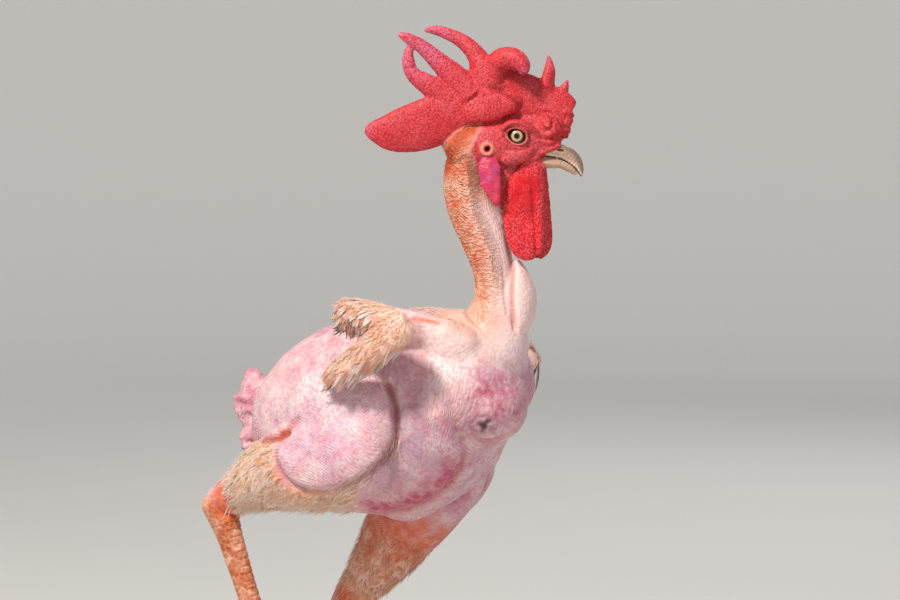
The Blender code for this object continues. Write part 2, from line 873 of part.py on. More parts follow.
def comb_pieces():
    """The large single comb: a long rear blade, six points and swollen folds."""
    pieces = [loft("blade", COMB_ROWS, sides=24, power=2.3, place=head_place)]
    for rows in COMB_POINTS:
        pieces.append(limb("point", rows, flat=0.72, up=(0.3, 0, 1), place=head_place))
    pieces.append(limb("folded_point", FOLDED_POINT, up=(0, 1, 0), place=head_place))
    pieces.append(ellipsoid("rear_fold", (26, -5.5, 129), (22, 6.5, 11), 12, head_place))
    for out in (-1, 1):
        pieces.append(ellipsoid("front_fold", (66, 3.5 * out, 116), (9, 6, 10), 20, head_place))
    return pieces


# height, forward, half length and half thickness, from the jaw down
WATTLE_ROWS = [
    (97, 50.0, 7.5, 3.6),
    (87, 50.0, 10.5, 3.6),
    (75, 48.5, 12.8, 3.2),
    (61, 47.8, 13.6, 2.8),
    (47, 48.6, 13.2, 2.8),
    (37, 50.2, 11.4, 2.8),
    (31, 51.2, 7.6, 2.3),
    (28.2, 51.6, 2.6, 1.2),
]
LOBE_ROWS = [
    (99, 29.0, 3.0, 1.8),
    (93, 26.8, 6.0, 2.8),
    (86, 25.6, 7.6, 3.2),
    (79, 26.6, 7.2, 3.2),
    (72, 28.8, 5.0, 2.8),
    (66, 30.6, 2.2, 1.8),
    (63.5, 31.2, 0.8, 0.8),
]


def wattle(side):
    """One long flat wattle. The left one hangs a little ahead of the right."""
    ahead = 0.0 if side == "right" else 7.5
    rows = []
    for height, forward, half, thick in WATTLE_ROWS:
        drop = (97 - height) / 70
        out = SIDES[side] * (6.4 + 4.0 * drop)
        rows.append((forward + ahead * drop**0.6, out, height, thick, half, half))
    return loft("wattle", rows, sides=14, steps=2, up=(1, 0, 0), power=2.2, place=head_place)


def ear_lobe(side):
    rows = []
    for height, forward, half, thick in LOBE_ROWS:
        rows.append((forward, SIDES[side] * 15.0, height, thick, half, half))
    return loft("ear_lobe", rows, sides=10, steps=2, up=(1, 0, 0), power=2.2, place=head_place)


# materials

def material(name, colour, roughness):
    made = bpy.data.materials.new(name)
    made.use_nodes = True
    shader = made.node_tree.nodes["Principled BSDF"]
    shader.inputs["Base Color"].default_value = (*colour, 1)
    shader.inputs["Roughness"].default_value = roughness
    shader.inputs["Metallic"].default_value = 0.0
    return made


FINISHES = {
    "skin": ((0.80, 0.45, 0.45), 0.5),
    "neck": ((0.80, 0.36, 0.26), 0.5),
    "red": ((0.72, 0.04, 0.06), 0.45),
    "lobe": ((0.72, 0.12, 0.24), 0.45),
    "scaled": ((0.74, 0.24, 0.10), 0.5),
    "stubble": ((0.80, 0.38, 0.18), 0.7),
    "horn": ((0.55, 0.44, 0.36), 0.35),
    "iris": ((0.62, 0.48, 0.24), 0.1),
}
MADE = {}


def keep(obj, name, finish):
    """Makes a helper a part of the model, under its node's name."""
    HELPERS.objects.unlink(obj)
    PARTS.objects.link(obj)
    obj.hide_render = False
    obj.display_type = "TEXTURED"
    obj.name = name
    obj.data.name = name
    obj.data.materials.clear()
    obj.data.materials.append(material(name + "_finish", *FINISHES[finish]))
    obj.data.shade_smooth()
    obj.data.set_sharp_from_angle(angle=math.radians(50))
    MADE[name] = obj
    return obj


def build_flesh():
    """Torso, neck, tail and legs, parted from one body of flesh."""
    pieces = trunk_pieces() + neck_pieces() + thigh_pieces()
    flesh = fused("flesh", pieces, VOXEL["flesh"], 4, FACES["flesh"])
    room = head_cutter()
    wide = grown(room)
    boolean(flesh, wide, "DIFFERENCE")
    remove(wide, room)
    keep(parted(flesh, neck_cutter(), "neck"), "neck", "neck")
    keep(parted(flesh, tail_cutter(), "tail"), "tail", "skin")
    for side in SIDES:
        leg = parted(flesh, leg_cutter(side), "leg")
        room = hock_cutter(side)
        wide = grown(room)
        boolean(leg, wide, "DIFFERENCE")
        remove(wide, room)
        keep(largest(leg), "leg_" + side, "skin")
    keep(largest(flesh), "torso", "skin")


def build_feet():
    floor = block("floor", (-400, -400, FLOOR - 90), (400, 400, FLOOR))
    for side in SIDES:
        foot = fused("foot", foot_pieces(side), VOXEL["foot"], 2, FACES["foot"])
        room = hock_cutter(side)
        boolean(foot, room, "INTERSECT")
        boolean(foot, floor, "DIFFERENCE")
        remove(room)
        shank = largest(foot)
        foot = parted(shank, foot_cutter(side), "foot")
        for name in TOES:
            nail = stand_off(claw(side, name), foot)
            boolean(nail, floor, "DIFFERENCE")
            keep(largest(nail), f"claw_{side}_{name}", "horn")
        keep(stand_off(spur(side), shank), "spur_" + side, "horn")
        keep(shank, "shank_" + side, "scaled")
        keep(foot, "foot_" + side, "scaled")
    remove(floor)


def build_head():
    """The head with its eyes, bill, comb, ear lobes and wattles."""
    head = fused("head", head_pieces(), VOXEL["head"], 3, FACES["head"])
    room = head_cutter()
    boolean(head, room, "INTERSECT")
    remove(room)
    for side in SIDES:
        ball = eye(side)
        stand_off(head, ball)
        keep(ball, "eye_" + side, "iris")
        for opening in head_openings(side):
            boolean(head, opening, "DIFFERENCE")
            remove(opening)
    keep(largest(head), "head", "red")
    lower = keep(stand_off(bill_lower(), head), "bill_lower", "horn")
    keep(stand_off(bill_upper(), head, lower), "bill_upper", "horn")
    comb = fused("comb", comb_pieces(), VOXEL["comb"], 3, FACES["comb"])
    keep(stand_off(comb, head), "comb", "red")
    for side in SIDES:
        lobe = stand_off(ear_lobe(side), head, MADE["neck"])
        keep(lobe, "ear_lobe_" + side, "lobe")
        hanging = stand_off(wattle(side), head, MADE["neck"], MADE["bill_lower"], lobe)
        keep(hanging, "wattle_" + side, "red")


def build_wings():
    for side in SIDES:
        arm = fused("arm", wing_arm(side), VOXEL["wing"], 2, FACES["arm"])
        arm = united("arm", [arm] + arm_vanes(side))
        hand = fused("hand", wing_hand(side), VOXEL["wing"], 2, FACES["hand"])
        hand = united("hand", [hand] + hand_vanes(side))
        stand_off(arm, MADE["torso"])
        stand_off(hand, arm, by=2 * GAP, solver="MANIFOLD")
        stand_off(hand, MADE["torso"])
        keep(arm, "wing_arm_" + side, "stubble")
        keep(hand, "wing_hand_" + side, "stubble")


def set_on_origin():
    """Moves the whole bird so that the origin lies under its middle, on the floor."""
    corners = np.array([vert.co for obj in MADE.values() for vert in obj.data.vertices])
    low, high = corners.min(axis=0), corners.max(axis=0)
    shift = Vector((-(low[0] + high[0]) / 2, -(low[1] + high[1]) / 2, -low[2]))
    for obj in MADE.values():
        obj.data.transform(Matrix.Translation(shift))


def main():
    build_flesh()
    build_feet()
    build_head()
    build_wings()
    set_on_origin()


main()
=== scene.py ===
# Featherless cockerel, a still life-size model: skin, stub feathers, horn, eyes, light and camera.
# Forms are in millimetres in the frame that the bird is modelled in; meshes are in metres.

import math

import bmesh
import bpy
import numpy as np
from mathutils import Matrix, Vector, noise
from mathutils.bvhtree import BVHTree


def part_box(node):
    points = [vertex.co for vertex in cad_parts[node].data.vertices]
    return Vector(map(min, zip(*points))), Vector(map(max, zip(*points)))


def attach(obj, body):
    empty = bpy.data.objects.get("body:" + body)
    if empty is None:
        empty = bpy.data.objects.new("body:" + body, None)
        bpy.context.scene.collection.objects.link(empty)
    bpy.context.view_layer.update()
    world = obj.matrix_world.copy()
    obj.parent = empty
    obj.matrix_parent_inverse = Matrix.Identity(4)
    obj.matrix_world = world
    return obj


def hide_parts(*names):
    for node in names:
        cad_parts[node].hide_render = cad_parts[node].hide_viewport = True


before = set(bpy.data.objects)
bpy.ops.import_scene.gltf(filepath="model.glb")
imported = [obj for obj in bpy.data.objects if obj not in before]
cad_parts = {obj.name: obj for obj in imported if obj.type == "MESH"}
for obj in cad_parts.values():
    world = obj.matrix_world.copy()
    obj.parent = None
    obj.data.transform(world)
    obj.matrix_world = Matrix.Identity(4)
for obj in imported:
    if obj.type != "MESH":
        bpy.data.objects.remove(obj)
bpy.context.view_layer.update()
print("Frame loaded,", len(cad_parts), "nodes")

mm = 0.001
sides = {"right": -1, "left": 1}

headFrame = {"turn": math.radians(30.0), "origin": Vector((49.5, -13.0, 290.0))}
eyeBall = {"spot": (44.5, 8.4, 109.3), "radii": (8.0, 7.0, 8.0)}


def headPoint(forward, side, height):
    c, s = math.cos(headFrame["turn"]), math.sin(headFrame["turn"])
    return headFrame["origin"] + Vector((c * forward - s * side, s * forward + c * side, height))


def inHead(points):  # forward, side and height of many points, in the head's own frame
    c, s = math.cos(headFrame["turn"]), math.sin(headFrame["turn"])
    p = points - np.array(headFrame["origin"])
    return np.stack([c * p[:, 0] + s * p[:, 1], c * p[:, 1] - s * p[:, 0], p[:, 2]], axis=1)


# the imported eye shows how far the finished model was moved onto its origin
eyeLow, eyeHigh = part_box("eye_right")
forward, side, height = eyeBall["spot"]
shift = (Vector(eyeLow) + Vector(eyeHigh)) / 2 / mm - headPoint(forward, -side, height)


# the photo's view of the bird, which also places what is given by a pixel

photoView = {
    "azimuth": 30.0,
    "elevation": 4.5,
    "distance": 2600.0,
    "target": Vector((42.0, 0.0, 290.0)),
    "width": 600.0,  # millimetres seen across the picture at the target
    "pixels": (900, 600),
}


def viewAxes():
    a, e = math.radians(photoView["azimuth"]), math.radians(photoView["elevation"])
    back = Vector((math.sin(a) * math.cos(e), -math.cos(a) * math.cos(e), math.sin(e)))
    right = Vector((math.cos(a), math.sin(a), 0))
    return right, back.cross(right), back


def photoRay(u, v):
    right, up, back = viewAxes()
    eye = photoView["target"] + back * photoView["distance"]
    scale = photoView["width"] / photoView["pixels"][0]
    across = (u - photoView["pixels"][0] / 2) * scale
    rise = (photoView["pixels"][1] / 2 - v) * scale
    return eye, (photoView["target"] + right * across + up * rise - eye).normalized()


# tools for forms

def smoothRows(rows, steps):  # a Catmull-Rom curve through rows of sizes
    rows = np.array(rows, float)
    padded = np.vstack([2 * rows[0] - rows[1], rows, 2 * rows[-1] - rows[-2]])
    made = []
    for i in range(1, len(padded) - 2):
        before, here, after, beyond = padded[i - 1 : i + 3]
        for k in range(steps):
            t = k / steps
            bend = (2 * before - 5 * here + 4 * after - beyond) * t * t
            twist = (3 * here - before - 3 * after + beyond) * t**3
            made.append(0.5 * (2 * here + (after - before) * t + bend + twist))
    made.append(rows[-1])
    return np.array(made)


def loftShape(rows, around=24, steps=6, up=(0, 0, 1), power=2.0, place=None):
    # sections (x, y, z, half width, reach up, reach down) square to their line of centres
    rows = smoothRows(rows, steps)
    ahead = np.gradient(rows[:, :3], axis=0)
    points, faces = [], []
    for row, tangent in zip(rows, ahead):
        centre = Vector(row[:3])
        wide, high, low = row[3:]
        tangent = Vector(tangent).normalized()
        across = Vector(up).cross(tangent).normalized()
        top = tangent.cross(across).normalized()
        for k in range(around):
            turn = 2 * math.pi * k / around
            c, s = math.cos(turn), math.sin(turn)
            flat = math.copysign(abs(c) ** (2 / power), c) * max(wide, 0.05)
            rise = math.copysign(abs(s) ** (2 / power), s) * max(high if s > 0 else low, 0.05)
            point = centre + across * flat + top * rise
            points.append(place(*point) if place else point)
    last = len(rows) - 1
    for i in range(last):
        for k in range(around):
            j = (k + 1) % around
            a, b = i * around, (i + 1) * around
            faces.append((a + k, a + j, b + j, b + k))
    for i, order in ((0, -1), (last, 1)):
        ring = points[i * around : (i + 1) * around]
        points.append(sum(ring, Vector()) / around)
        for k in range(around):
            faces.append((i * around + k, i * around + (k + 1) % around, len(points) - 1)[::order])
    return points, faces


def limbShape(rows, around=20, steps=6, flat=1.0, up=(0, 0, 1), place=None):
    return loftShape([(x, y, z, r * flat, r, r) for x, y, z, r in rows], around, steps, up, 2.0, place)


def ballShape(centre, radii, tilt=0.0, place=None, fineness=4):
    form = bmesh.new()
    bmesh.ops.create_icosphere(form, subdivisions=fineness, radius=1.0)
    turn = Matrix.Rotation(math.radians(-tilt), 3, "Y")
    points = []
    for vert in form.verts:
        point = Vector(centre) + turn @ Vector([v * r for v, r in zip(vert.co, radii)])
        points.append(place(*point) if place else point)
    form.verts.index_update()
    faces = [tuple(vert.index for vert in face.verts) for face in form.faces]
    form.free()
    return points, faces


def ringShape(centre, radii, thick, out, major=40, minor=12):  # a rim of skin on the side of the head
    points, faces = [], []
    for i in range(major):
        a = 2 * math.pi * i / major
        for j in range(minor):
            b = 2 * math.pi * j / minor
            grow = thick * math.cos(b)
            x, z = (radii[0] + grow) * math.cos(a), (radii[1] + grow) * math.sin(a)
            points.append(headPoint(centre[0] + x, centre[1] * out + thick * math.sin(b), centre[2] + z))
            i2, j2 = (i + 1) % major, (j + 1) % minor
            faces.append((i * minor + j, i2 * minor + j, i2 * minor + j2, i * minor + j2))
    return points, faces


def newObject(name, points, faces):
    mesh = bpy.data.meshes.new(name)
    moved = (np.array([tuple(p) for p in points]) + np.array(shift)) * mm
    mesh.from_pydata(moved.tolist(), [], faces)
    mesh.validate()
    form = bmesh.new()
    form.from_mesh(mesh)
    bmesh.ops.recalc_face_normals(form, faces=form.faces)
    form.to_mesh(mesh)
    form.free()
    mesh.shade_smooth()
    obj = bpy.data.objects.new(name, mesh)
    bpy.context.scene.collection.objects.link(obj)
    return obj


def applied(obj):
    graph = bpy.context.evaluated_depsgraph_get()
    mesh = bpy.data.meshes.new_from_object(obj.evaluated_get(graph))
    old = obj.data
    obj.modifiers.clear()
    obj.data = mesh
    bpy.data.meshes.remove(old)
    return obj


def readPoints(mesh):
    flat = np.empty(len(mesh.vertices) * 3, np.float32)
    mesh.vertices.foreach_get("co", flat)
    return flat.reshape(-1, 3).astype(float) / mm - np.array(shift)


def writePoints(mesh, points):
    mesh.vertices.foreach_set("co", ((points + np.array(shift)) * mm).astype(np.float32).ravel())
    mesh.update()


def readNormals(mesh):
    flat = np.empty(len(mesh.vertices) * 3, np.float32)
    mesh.vertex_normals.foreach_get("vector", flat)
    return flat.reshape(-1, 3).astype(float)


def readEdges(mesh):
    flat = np.empty(len(mesh.edges) * 2, np.int32)
    mesh.edges.foreach_get("vertices", flat)
    return flat.reshape(-1, 2)


def writeMask(mesh, name, values):
    layer = mesh.attributes.new(name, "FLOAT", "POINT")
    layer.data.foreach_set("value", np.asarray(values, np.float32))


def ease(values, low, high):  # 0 below low, 1 above high, smooth between
    t = np.clip((values - low) / (high - low), 0, 1)
    return t * t * (3 - 2 * t)


def bump(distance, size):
    return np.exp(-((distance / size) ** 2))


def noiseField(points, size, seed=0):  # smooth noise from about -1 to 1, with features of that size
    start = Vector((seed * 13.7, seed * 7.1, seed * 3.3))
    step = 1 / size
    return np.array([noise.noise(Vector(p) * step + start) for p in points])


def cellField(points, size, seed=0):  # 0 in the middle of a cell, 1 at its border
    start = Vector((seed * 5.3, seed * 9.1, seed * 2.7))
    step = 1 / size
    found = [noise.voronoi(Vector(p) * step + start)[0] for p in points]
    return np.clip([1.6 * a / max(b, 0.001) - 0.6 for a, b, _, _ in found], 0, 1)


# the flesh: trunk, neck and throat

trunk = {
    "barrel": [
        (-106, 0, 205, 12, 12, 12),
        (-96, 0, 205, 29, 28, 30),
        (-75, 0, 206, 43, 47, 49),
        (-48, 0, 208, 53, 60, 63),
        (-18, 0, 211, 58, 66, 69),
        (10, 0, 215, 60, 67, 71),
        (34, 0, 221, 59, 65, 61),
        (54, 0, 229, 55, 61, 44),
        (70, 0, 237, 48, 53, 33),
        (84, 0, 244, 37, 42, 25),
        (94, 0, 248, 18, 22, 14),
    ],
    "breast": ((33, 14, 200), (39, 29, 40), 38),
    "shoulder": ((52, 30, 261), (28, 17, 19), 10),
    "crop": ((73, -9, 222), (29, 31, 27), 0),
    "keel": ((20, 0, 160), (34, 9, 17), 28),
}
tail = {
    "stump": ((-108, 0, 211), (20, 16, 18), -18),
    "vent": ((-104, 0, 189), (18, 19, 17), 0),
    "tip": [
        (-101, 0, 208, 13),
        (-107, 0, 217, 11.5),
        (-112, 0, 226, 9.5),
        (-115, 0, 232.5, 6.5),
        (-116, 0, 236, 3),
    ],
}
neck = {
    "tube": [
        (22, 0, -40, 26, 30, 30),
        (27, 0, -22, 22, 25, 26),
        (29.5, 0, -5, 16, 17, 18),
        (29.5, 0, 9, 12.8, 13, 13),
        (28.5, 0, 22, 13, 13.5, 13.5),
        (25.5, 0, 34, 13.6, 15, 15),
        (20.5, 0, 47, 14, 15.3, 15.3),
        (15, 0, 60, 14.2, 15.8, 15.8),
        (11, 0, 74, 14.2, 15.4, 15.4),
        (11, 0, 88, 14, 14.5, 14.5),
        (16, 0, 99, 12.5, 12.5, 12.5),
    ],
    "throat": [
        (41, 0, 27, 5, 4, 4),
        (43, 0, 18, 10, 9, 9),
        (44, 0, 5, 13, 13.5, 13.5),
        (42.5, 0, -9, 14, 13.5, 13.5),
        (38, 0, -22, 14, 11, 11),
        (33, 0, -34, 11, 8, 8),
    ],
}


def pour(soup, zone, shape):  # adds one closed form to the loose forms of the flesh
    points, faces = shape
    start = len(soup["points"])
    soup["points"] += [Vector(p) for p in points]
    soup["faces"] += [tuple(start + i for i in face) for face in faces]
    soup["zones"] += [zone] * len(faces)


def pourTrunk(soup):
    pour(soup, "trunk", loftShape(trunk["barrel"], 40, power=2.15))
    for out in (-1, 1):
        for name in ("breast", "shoulder"):
            (x, y, z), radii, tilt = trunk[name]
            pour(soup, "trunk", ballShape((x, y * out, z), radii, tilt))
    for name in ("crop", "keel"):
        pour(soup, "trunk", ballShape(*trunk[name]))
    pour(soup, "tail", ballShape(*tail["stump"]))
    pour(soup, "tail", ballShape(*tail["vent"]))
    pour(soup, "tail", limbShape(tail["tip"]))


def pourNeck(soup):
    pour(soup, "neck", loftShape(neck["tube"], 32, up=(-1, 0, 0), place=headPoint))


def pourThroat(soup):
    pour(soup, "neck", loftShape(neck["throat"], 28, up=(-1, 0, 0), place=headPoint))


# legs and feet

leg = {
    "hip": {"right": Vector((-8, -54, 213)), "left": Vector((-14, 50, 203))},
    "knee": {"right": Vector((4, -59, 193)), "left": Vector((9, 52, 172))},
    "hock": {"right": Vector((-110, -50, 150)), "left": Vector((-68, 45, 68.5))},
    "lean": {"right": math.radians(19), "left": math.radians(40.5)},
    "splay": {"right": 0.04, "left": -0.17},
    "shankLength": 96.0,
    "floor": -12.0,
    "thigh": {"right": (43, 25, 41), "left": (41, 24, 42)},
    "flat": 0.86,
}
drumstick = {
    "right": [
        (14, -53, 200, 24),
        (*leg["knee"]["right"], 33),
        (-20, -57, 185, 34),
        (-48, -56, 178, 29.5),
        (-74, -53, 168, 21.5),
        (-93, -51, 158.5, 15),
        (*leg["hock"]["right"], 11.5),
        (-116, -50, 147, 8),
    ],
    "left": [
        (12, 50, 190, 25),
        (*leg["knee"]["left"], 32.5),
        (-13, 50, 142, 30),
        (-29, 49, 120, 25),
        (-44, 48, 99.5, 19.5),
        (-57, 46.5, 83, 15.3),
        (*leg["hock"]["left"], 12.5),
        (-73, 45, 62, 8),
    ],
}
shank = [  # share of the way down, half width, half depth
    (-0.06, 9.0, 9.5),
    (0.0, 10.8, 13.0),
    (0.09, 9.6, 11.8),
    (0.22, 7.6, 9.7),
    (0.42, 6.6, 8.6),
    (0.64, 6.1, 7.8),
    (0.84, 6.9, 7.9),
    (0.96, 8.8, 8.6),
    (1.03, 7.6, 6.4),
]
toes = {  # heading in degrees, toe length, claw length, root radius
    "middle": (0, 60, 15, 5.7),
    "inner": (38, 44, 12, 5.2),
    "outer": (-33, 48, 12, 5.1),
    "hind": (165, 23, 10, 4.7),
}
pushing = {"middle": (62, 72), "inner": (70, 84), "outer": (68, 82), "hind": (52, 74)}
footHeading = {"right": math.radians(4), "left": math.radians(-4)}
toeSteps = 6
clawSink = 2.4


def shankWay(side):
    lean = leg["lean"][side]
    return Vector((math.sin(lean), leg["splay"][side], -math.cos(lean))).normalized()


def toeHeading(side, name):
    turn = footHeading[side] - sides[side] * math.radians(toes[name][0])
    return Vector((math.cos(turn), math.sin(turn), 0))


def toeRows(side, name):  # centres and radii down one toe, fuller at its pads
    _, length, _, root = toes[name]
    level = toeHeading(side, name)
    point = leg["hock"][side] + shankWay(side) * leg["shankLength"]
    rows = [(*point, root)]
    for k in range(1, toeSteps + 1):
        share = k / toeSteps
        radius = root * (1 - 0.34 * share) + (0.35 if k % 2 else -0.25)
        if side == "right":
            drop = math.radians(np.interp(share, (0, 1), pushing[name]))
            down = Vector((0, 0, math.sin(drop)))
            point = point + (level * math.cos(drop) - down) * (length / toeSteps)
        else:
            point = point + level * (length / toeSteps)
            point.z = leg["floor"] + 0.9 * radius + 2.0 * (1 - share) ** 3
        rows.append((*point, radius))
    return rows


def pourThighs(soup):
    for side in sides:
        front = (0, 0, 1) if side == "right" else (-1, 0, 0)
        pour(soup, "leg", ballShape(leg["hip"][side], leg["thigh"][side]))
        pour(soup, "leg", limbShape(drumstick[side], 28, flat=leg["flat"], up=front))


def pourFeet(soup):
    for side in sides:
        down = shankWay(side)
        rows = [(*(leg["hock"][side] + down * leg["shankLength"] * s), w, d, d) for s, w, d in shank]
        pour(soup, "shank", loftShape(rows, 24, up=(-down.z, 0, down.x)))
        for name in toes:
            rows = toeRows(side, name)
            tip, before = Vector(rows[-1][:3]), Vector(rows[-2][:3])
            rows.append((*(tip + (tip - before).normalized() * 2.2), toes[name][3] * 0.5))
            up = (1, 0, 0) if side == "right" and name != "hind" else (0, 0, 1)
            pour(soup, "shank", limbShape(rows, 16, 3, up=up))


# wings, stunted and half folded

wing = {
    "joints": {  # shoulder, elbow, wrist, tip
        "right": [(52, -40, 270), (4, -72, 285), (54, -84, 278), (-3, -84, 241)],
        "left": [(52, 40, 266), (4, 70, 262), (52, 88, 246), (-8, 86, 210)],
    },
    "upper": ([(-0.1, 8), (0, 11.5), (0.4, 9.5), (0.75, 8.6), (1, 8.2)], (0, 3), 0.85),
    "fore": ([(-0.08, 6), (0, 8.5), (0.4, 9.5), (0.8, 10.5), (0.98, 10)], (2, 2), 0.7),
    "hand": ([(-0.1, 7.5), (0.04, 11.5), (0.3, 11), (0.6, 9.4), (0.86, 7.6), (1, 4.5)], (2, -2), 0.62),
    "shoulder": ((3, -3, -2), (17, 11, 13), 10),
}


def wingJoints(side):
    return [Vector(joint) for joint in wing["joints"][side]]


def armShape(side, k, name):
    joints = wingJoints(side)
    stations, bow, flat = wing[name]
    rows = []
    for share, radius in stations:
        bulge = math.sin(math.pi * min(max(share, 0), 1))
        offset = Vector((0, bow[0] * sides[side], bow[1])) * bulge
        rows.append((*(joints[k].lerp(joints[k + 1], share) + offset), radius))
    return limbShape(rows, 20, flat=flat, up=(0.2, 0, 1))


def pourUpperArms(soup):
    for side in sides:
        pour(soup, "wing", armShape(side, 0, "upper"))
        (x, y, z), radii, tilt = wing["shoulder"]
        shoulder = wingJoints(side)[0] + Vector((x, y * sides[side], z))
        pour(soup, "wing", ballShape(shoulder, radii, tilt))


def pourWings(soup):
    for side in sides:
        pour(soup, "wing", armShape(side, 1, "fore"))
        pour(soup, "wing", armShape(side, 2, "hand"))


# head and comb

head = {
    "skull": [
        (-3, 0, 99, 6, 6, 6),
        (1, 0, 101, 10.5, 10, 11),
        (10, 0, 104, 13.8, 13.5, 17),
        (22, 0, 105.5, 15, 15.5, 18),
        (34, 0, 106, 15.2, 15.5, 18),
        (45, 0, 106, 14, 14, 15.5),
        (55, 0, 105, 11.4, 13, 11.5),
        (63, 0, 104, 8.8, 11.5, 8),
        (69, 0, 103.2, 6.8, 9, 6),
        (73, 0, 102.4, 4.6, 5.5, 4),
    ],
    "combSeat": ((52, 0, 115), (24, 7, 11), 0),
    "chin": ((50, 0, 92), (13, 8.5, 7), 12),
    "brow": [(33, 12.0, 114, 2.2), (40, 12.8, 118, 3.2), (50, 11.6, 117, 3.0), (58, 8.6, 111, 2.0)],
    "mouth": [(46, 10.4, 93.0, 1.4), (51, 9.8, 94.4, 1.8), (56, 8.8, 95.6, 2.0), (59.5, 7.6, 96.4, 1.3)],
    "lip": [(56, 8.4, 98.2, 1.8), (62, 7.4, 100.0, 1.8), (68, 6.0, 102.0, 1.7), (73, 4.4, 103.6, 1.5)],
    "underLip": [(53, 8.6, 92.6, 2.0), (58, 7.6, 91.0, 2.2), (62.5, 6.2, 89.0, 2.0)],
    "cheek": ((43, 9.5, 98), (14, 6, 6), 12),
    "lids": ((6.5, 5.7), 1.7),
    "gaze": (43.9, 110.4),  # forward and height of the middle of the opening between the lids
    "window": (5.6, 4.1, 4.7),  # half width and reach up and down of that opening
    "ear": (24.3, 14.4, 101.8),
    "earRim": ((3.3, 3.5), 1.6),
    "earHole": 1.9,
    "nape": [(15, 0, 106, 12.2), (11, 0, 96, 12.6), (10.5, 0, 87, 13.3), (10.5, 0, 77, 13.6)],
    "jowl": [
        (40, 0, 96, 9.5, 9, 9),
        (38.5, 0, 86, 8, 9, 9),
        (37, 0, 75, 6.5, 8, 8),
        (35, 0, 63, 5.5, 6, 6),
        (34, 0, 52, 4.5, 4, 4),
    ],
}
comb = {
    "blade": [  # forward, side, height, half thickness, reach up, reach down
        (-56, -7, 114.5, 1.6, 2.5, 2.5),
        (-50, -7, 113.5, 3.6, 7.6, 7.4),
        (-38, -6.5, 112.8, 4.8, 13.4, 13.2),
        (-22, -5.5, 115.8, 5.4, 16.6, 16.2),
        (-8, -4.5, 120.8, 5.8, 16.8, 16.4),
        (6, -3.5, 127.0, 6.0, 15.4, 14.2),
        (20, -2.0, 133.0, 6.4, 17.0, 15.5),
        (34, 0.0, 136.0, 6.6, 19.5, 18.0),
        (47, 1.5, 134.5, 6.6, 17.5, 18.0),
        (59, 1.5, 130.0, 6.2, 16.5, 18.0),
        (70, 0.5, 123.5, 5.8, 17.0, 17.5),
        (77, 0, 119.0, 5.0, 13.5, 13.0),
        (80.5, 0, 118.0, 2.6, 6.5, 7.5),
    ],
    "points": [
        [
            (0, -4, 134, 8),
            (-14, -4, 143.5, 7.2),
            (-24.5, -4, 151, 5),
            (-27.5, -4, 160, 4.2),
            (-26.8, -4, 167, 2.8),
            (-25, -4, 171.5, 1),
        ],
        [
            (14, -3, 136, 11),
            (4, -3, 148, 9),
            (-8.5, -3, 160, 6.3),
            (-20, -4, 170, 4.6),
            (-29, -5, 175, 3.4),
            (-34, -5, 177, 1.4),
        ],
        [
            (26, -2, 138, 12),
            (22, -2, 152, 9.5),
            (17.5, -1, 163, 6.6),
            (8, 0, 172.5, 5),
            (-5, 1, 178.5, 3.8),
            (-12, 1, 179.8, 2.8),
            (-17, 1, 179.4, 1.2),
        ],
        [
            (60, 1, 134, 9),
            (63.5, 1, 143, 7.4),
            (65.5, 0, 152, 4.4),
            (65.5, 0, 159, 2.4),
            (64.7, 0, 163.5, 0.8),
        ],
        [(68, 0, 130, 7), (73, 0, 137, 4.6), (76, 0, 142.5, 2.8), (77.4, 0, 147, 0.9)],
    ],
    "folded": [
        (27, -1, 146, 9),
        (30, -3, 156, 8.2),
        (36, -7, 161, 7.8),
        (43, -12, 160.5, 7.2),
        (47.5, -15.5, 156.5, 5.6),
        (49, -17, 151.5, 3),
    ],
    "rearFold": ((26, -5.5, 129), (22, 6.5, 11), 12),
    "frontFold": ((66, 3.5, 116), (9, 6, 10), 20),
}


def pourSkull(soup):
    pour(soup, "face", loftShape(head["skull"], 40, power=2.1, place=headPoint))
    pour(soup, "face", loftShape(head["jowl"], 24, up=(1, 0, 0), place=headPoint))
    pour(soup, "face", limbShape(head["nape"], place=headPoint))
    for name in ("combSeat", "chin"):
        pour(soup, "face", ballShape(*head[name], headPoint))
    (x, y, z), radii, tilt = head["cheek"]
    for out in (-1, 1):
        pour(soup, "face", ballShape((x, y * out, z), radii, tilt, headPoint))


def pourFace(soup):
    for out in (-1, 1):
        for name in ("brow", "mouth", "lip", "underLip"):
            rows = [(x, y * out, z, r) for x, y, z, r in head[name]]
            pour(soup, "face", limbShape(rows, place=headPoint))
        forward, height = head["gaze"]
        pour(soup, "face", ringShape((forward, eyeBall["spot"][1] + 5, height), *head["lids"], out))
        pour(soup, "face", ringShape(head["ear"], *head["earRim"], out))


def pourComb(soup):
    pour(soup, "comb", loftShape(comb["blade"], 32, power=2.3, place=headPoint))
    for rows in comb["points"]:
        pour(soup, "comb", limbShape(rows, flat=0.72, up=(0.3, 0, 1), place=headPoint))
    pour(soup, "comb", limbShape(comb["folded"], up=(0, 1, 0), place=headPoint))
    pour(soup, "comb", ballShape(*comb["rearFold"], headPoint))
    (x, y, z), radii, tilt = comb["frontFold"]
    for out in (-1, 1):
        pour(soup, "comb", ballShape((x, y * out, z), radii, tilt, headPoint))


# one skin over all of it

skin = {
    "bodyVoxel": 2.2,
    "bodyRounding": 9,
    "headVoxel": 1.1,
    "headRounding": 12,
    "voxel": 0.8,
    "rounding": 3,
    "zones": ["trunk", "tail", "neck", "leg", "shank", "wing", "face", "comb"],
    "softEdge": 5,  # rounds of smoothing between one zone and the next
}


def newSoup():
    return {"points": [], "faces": [], "zones": []}


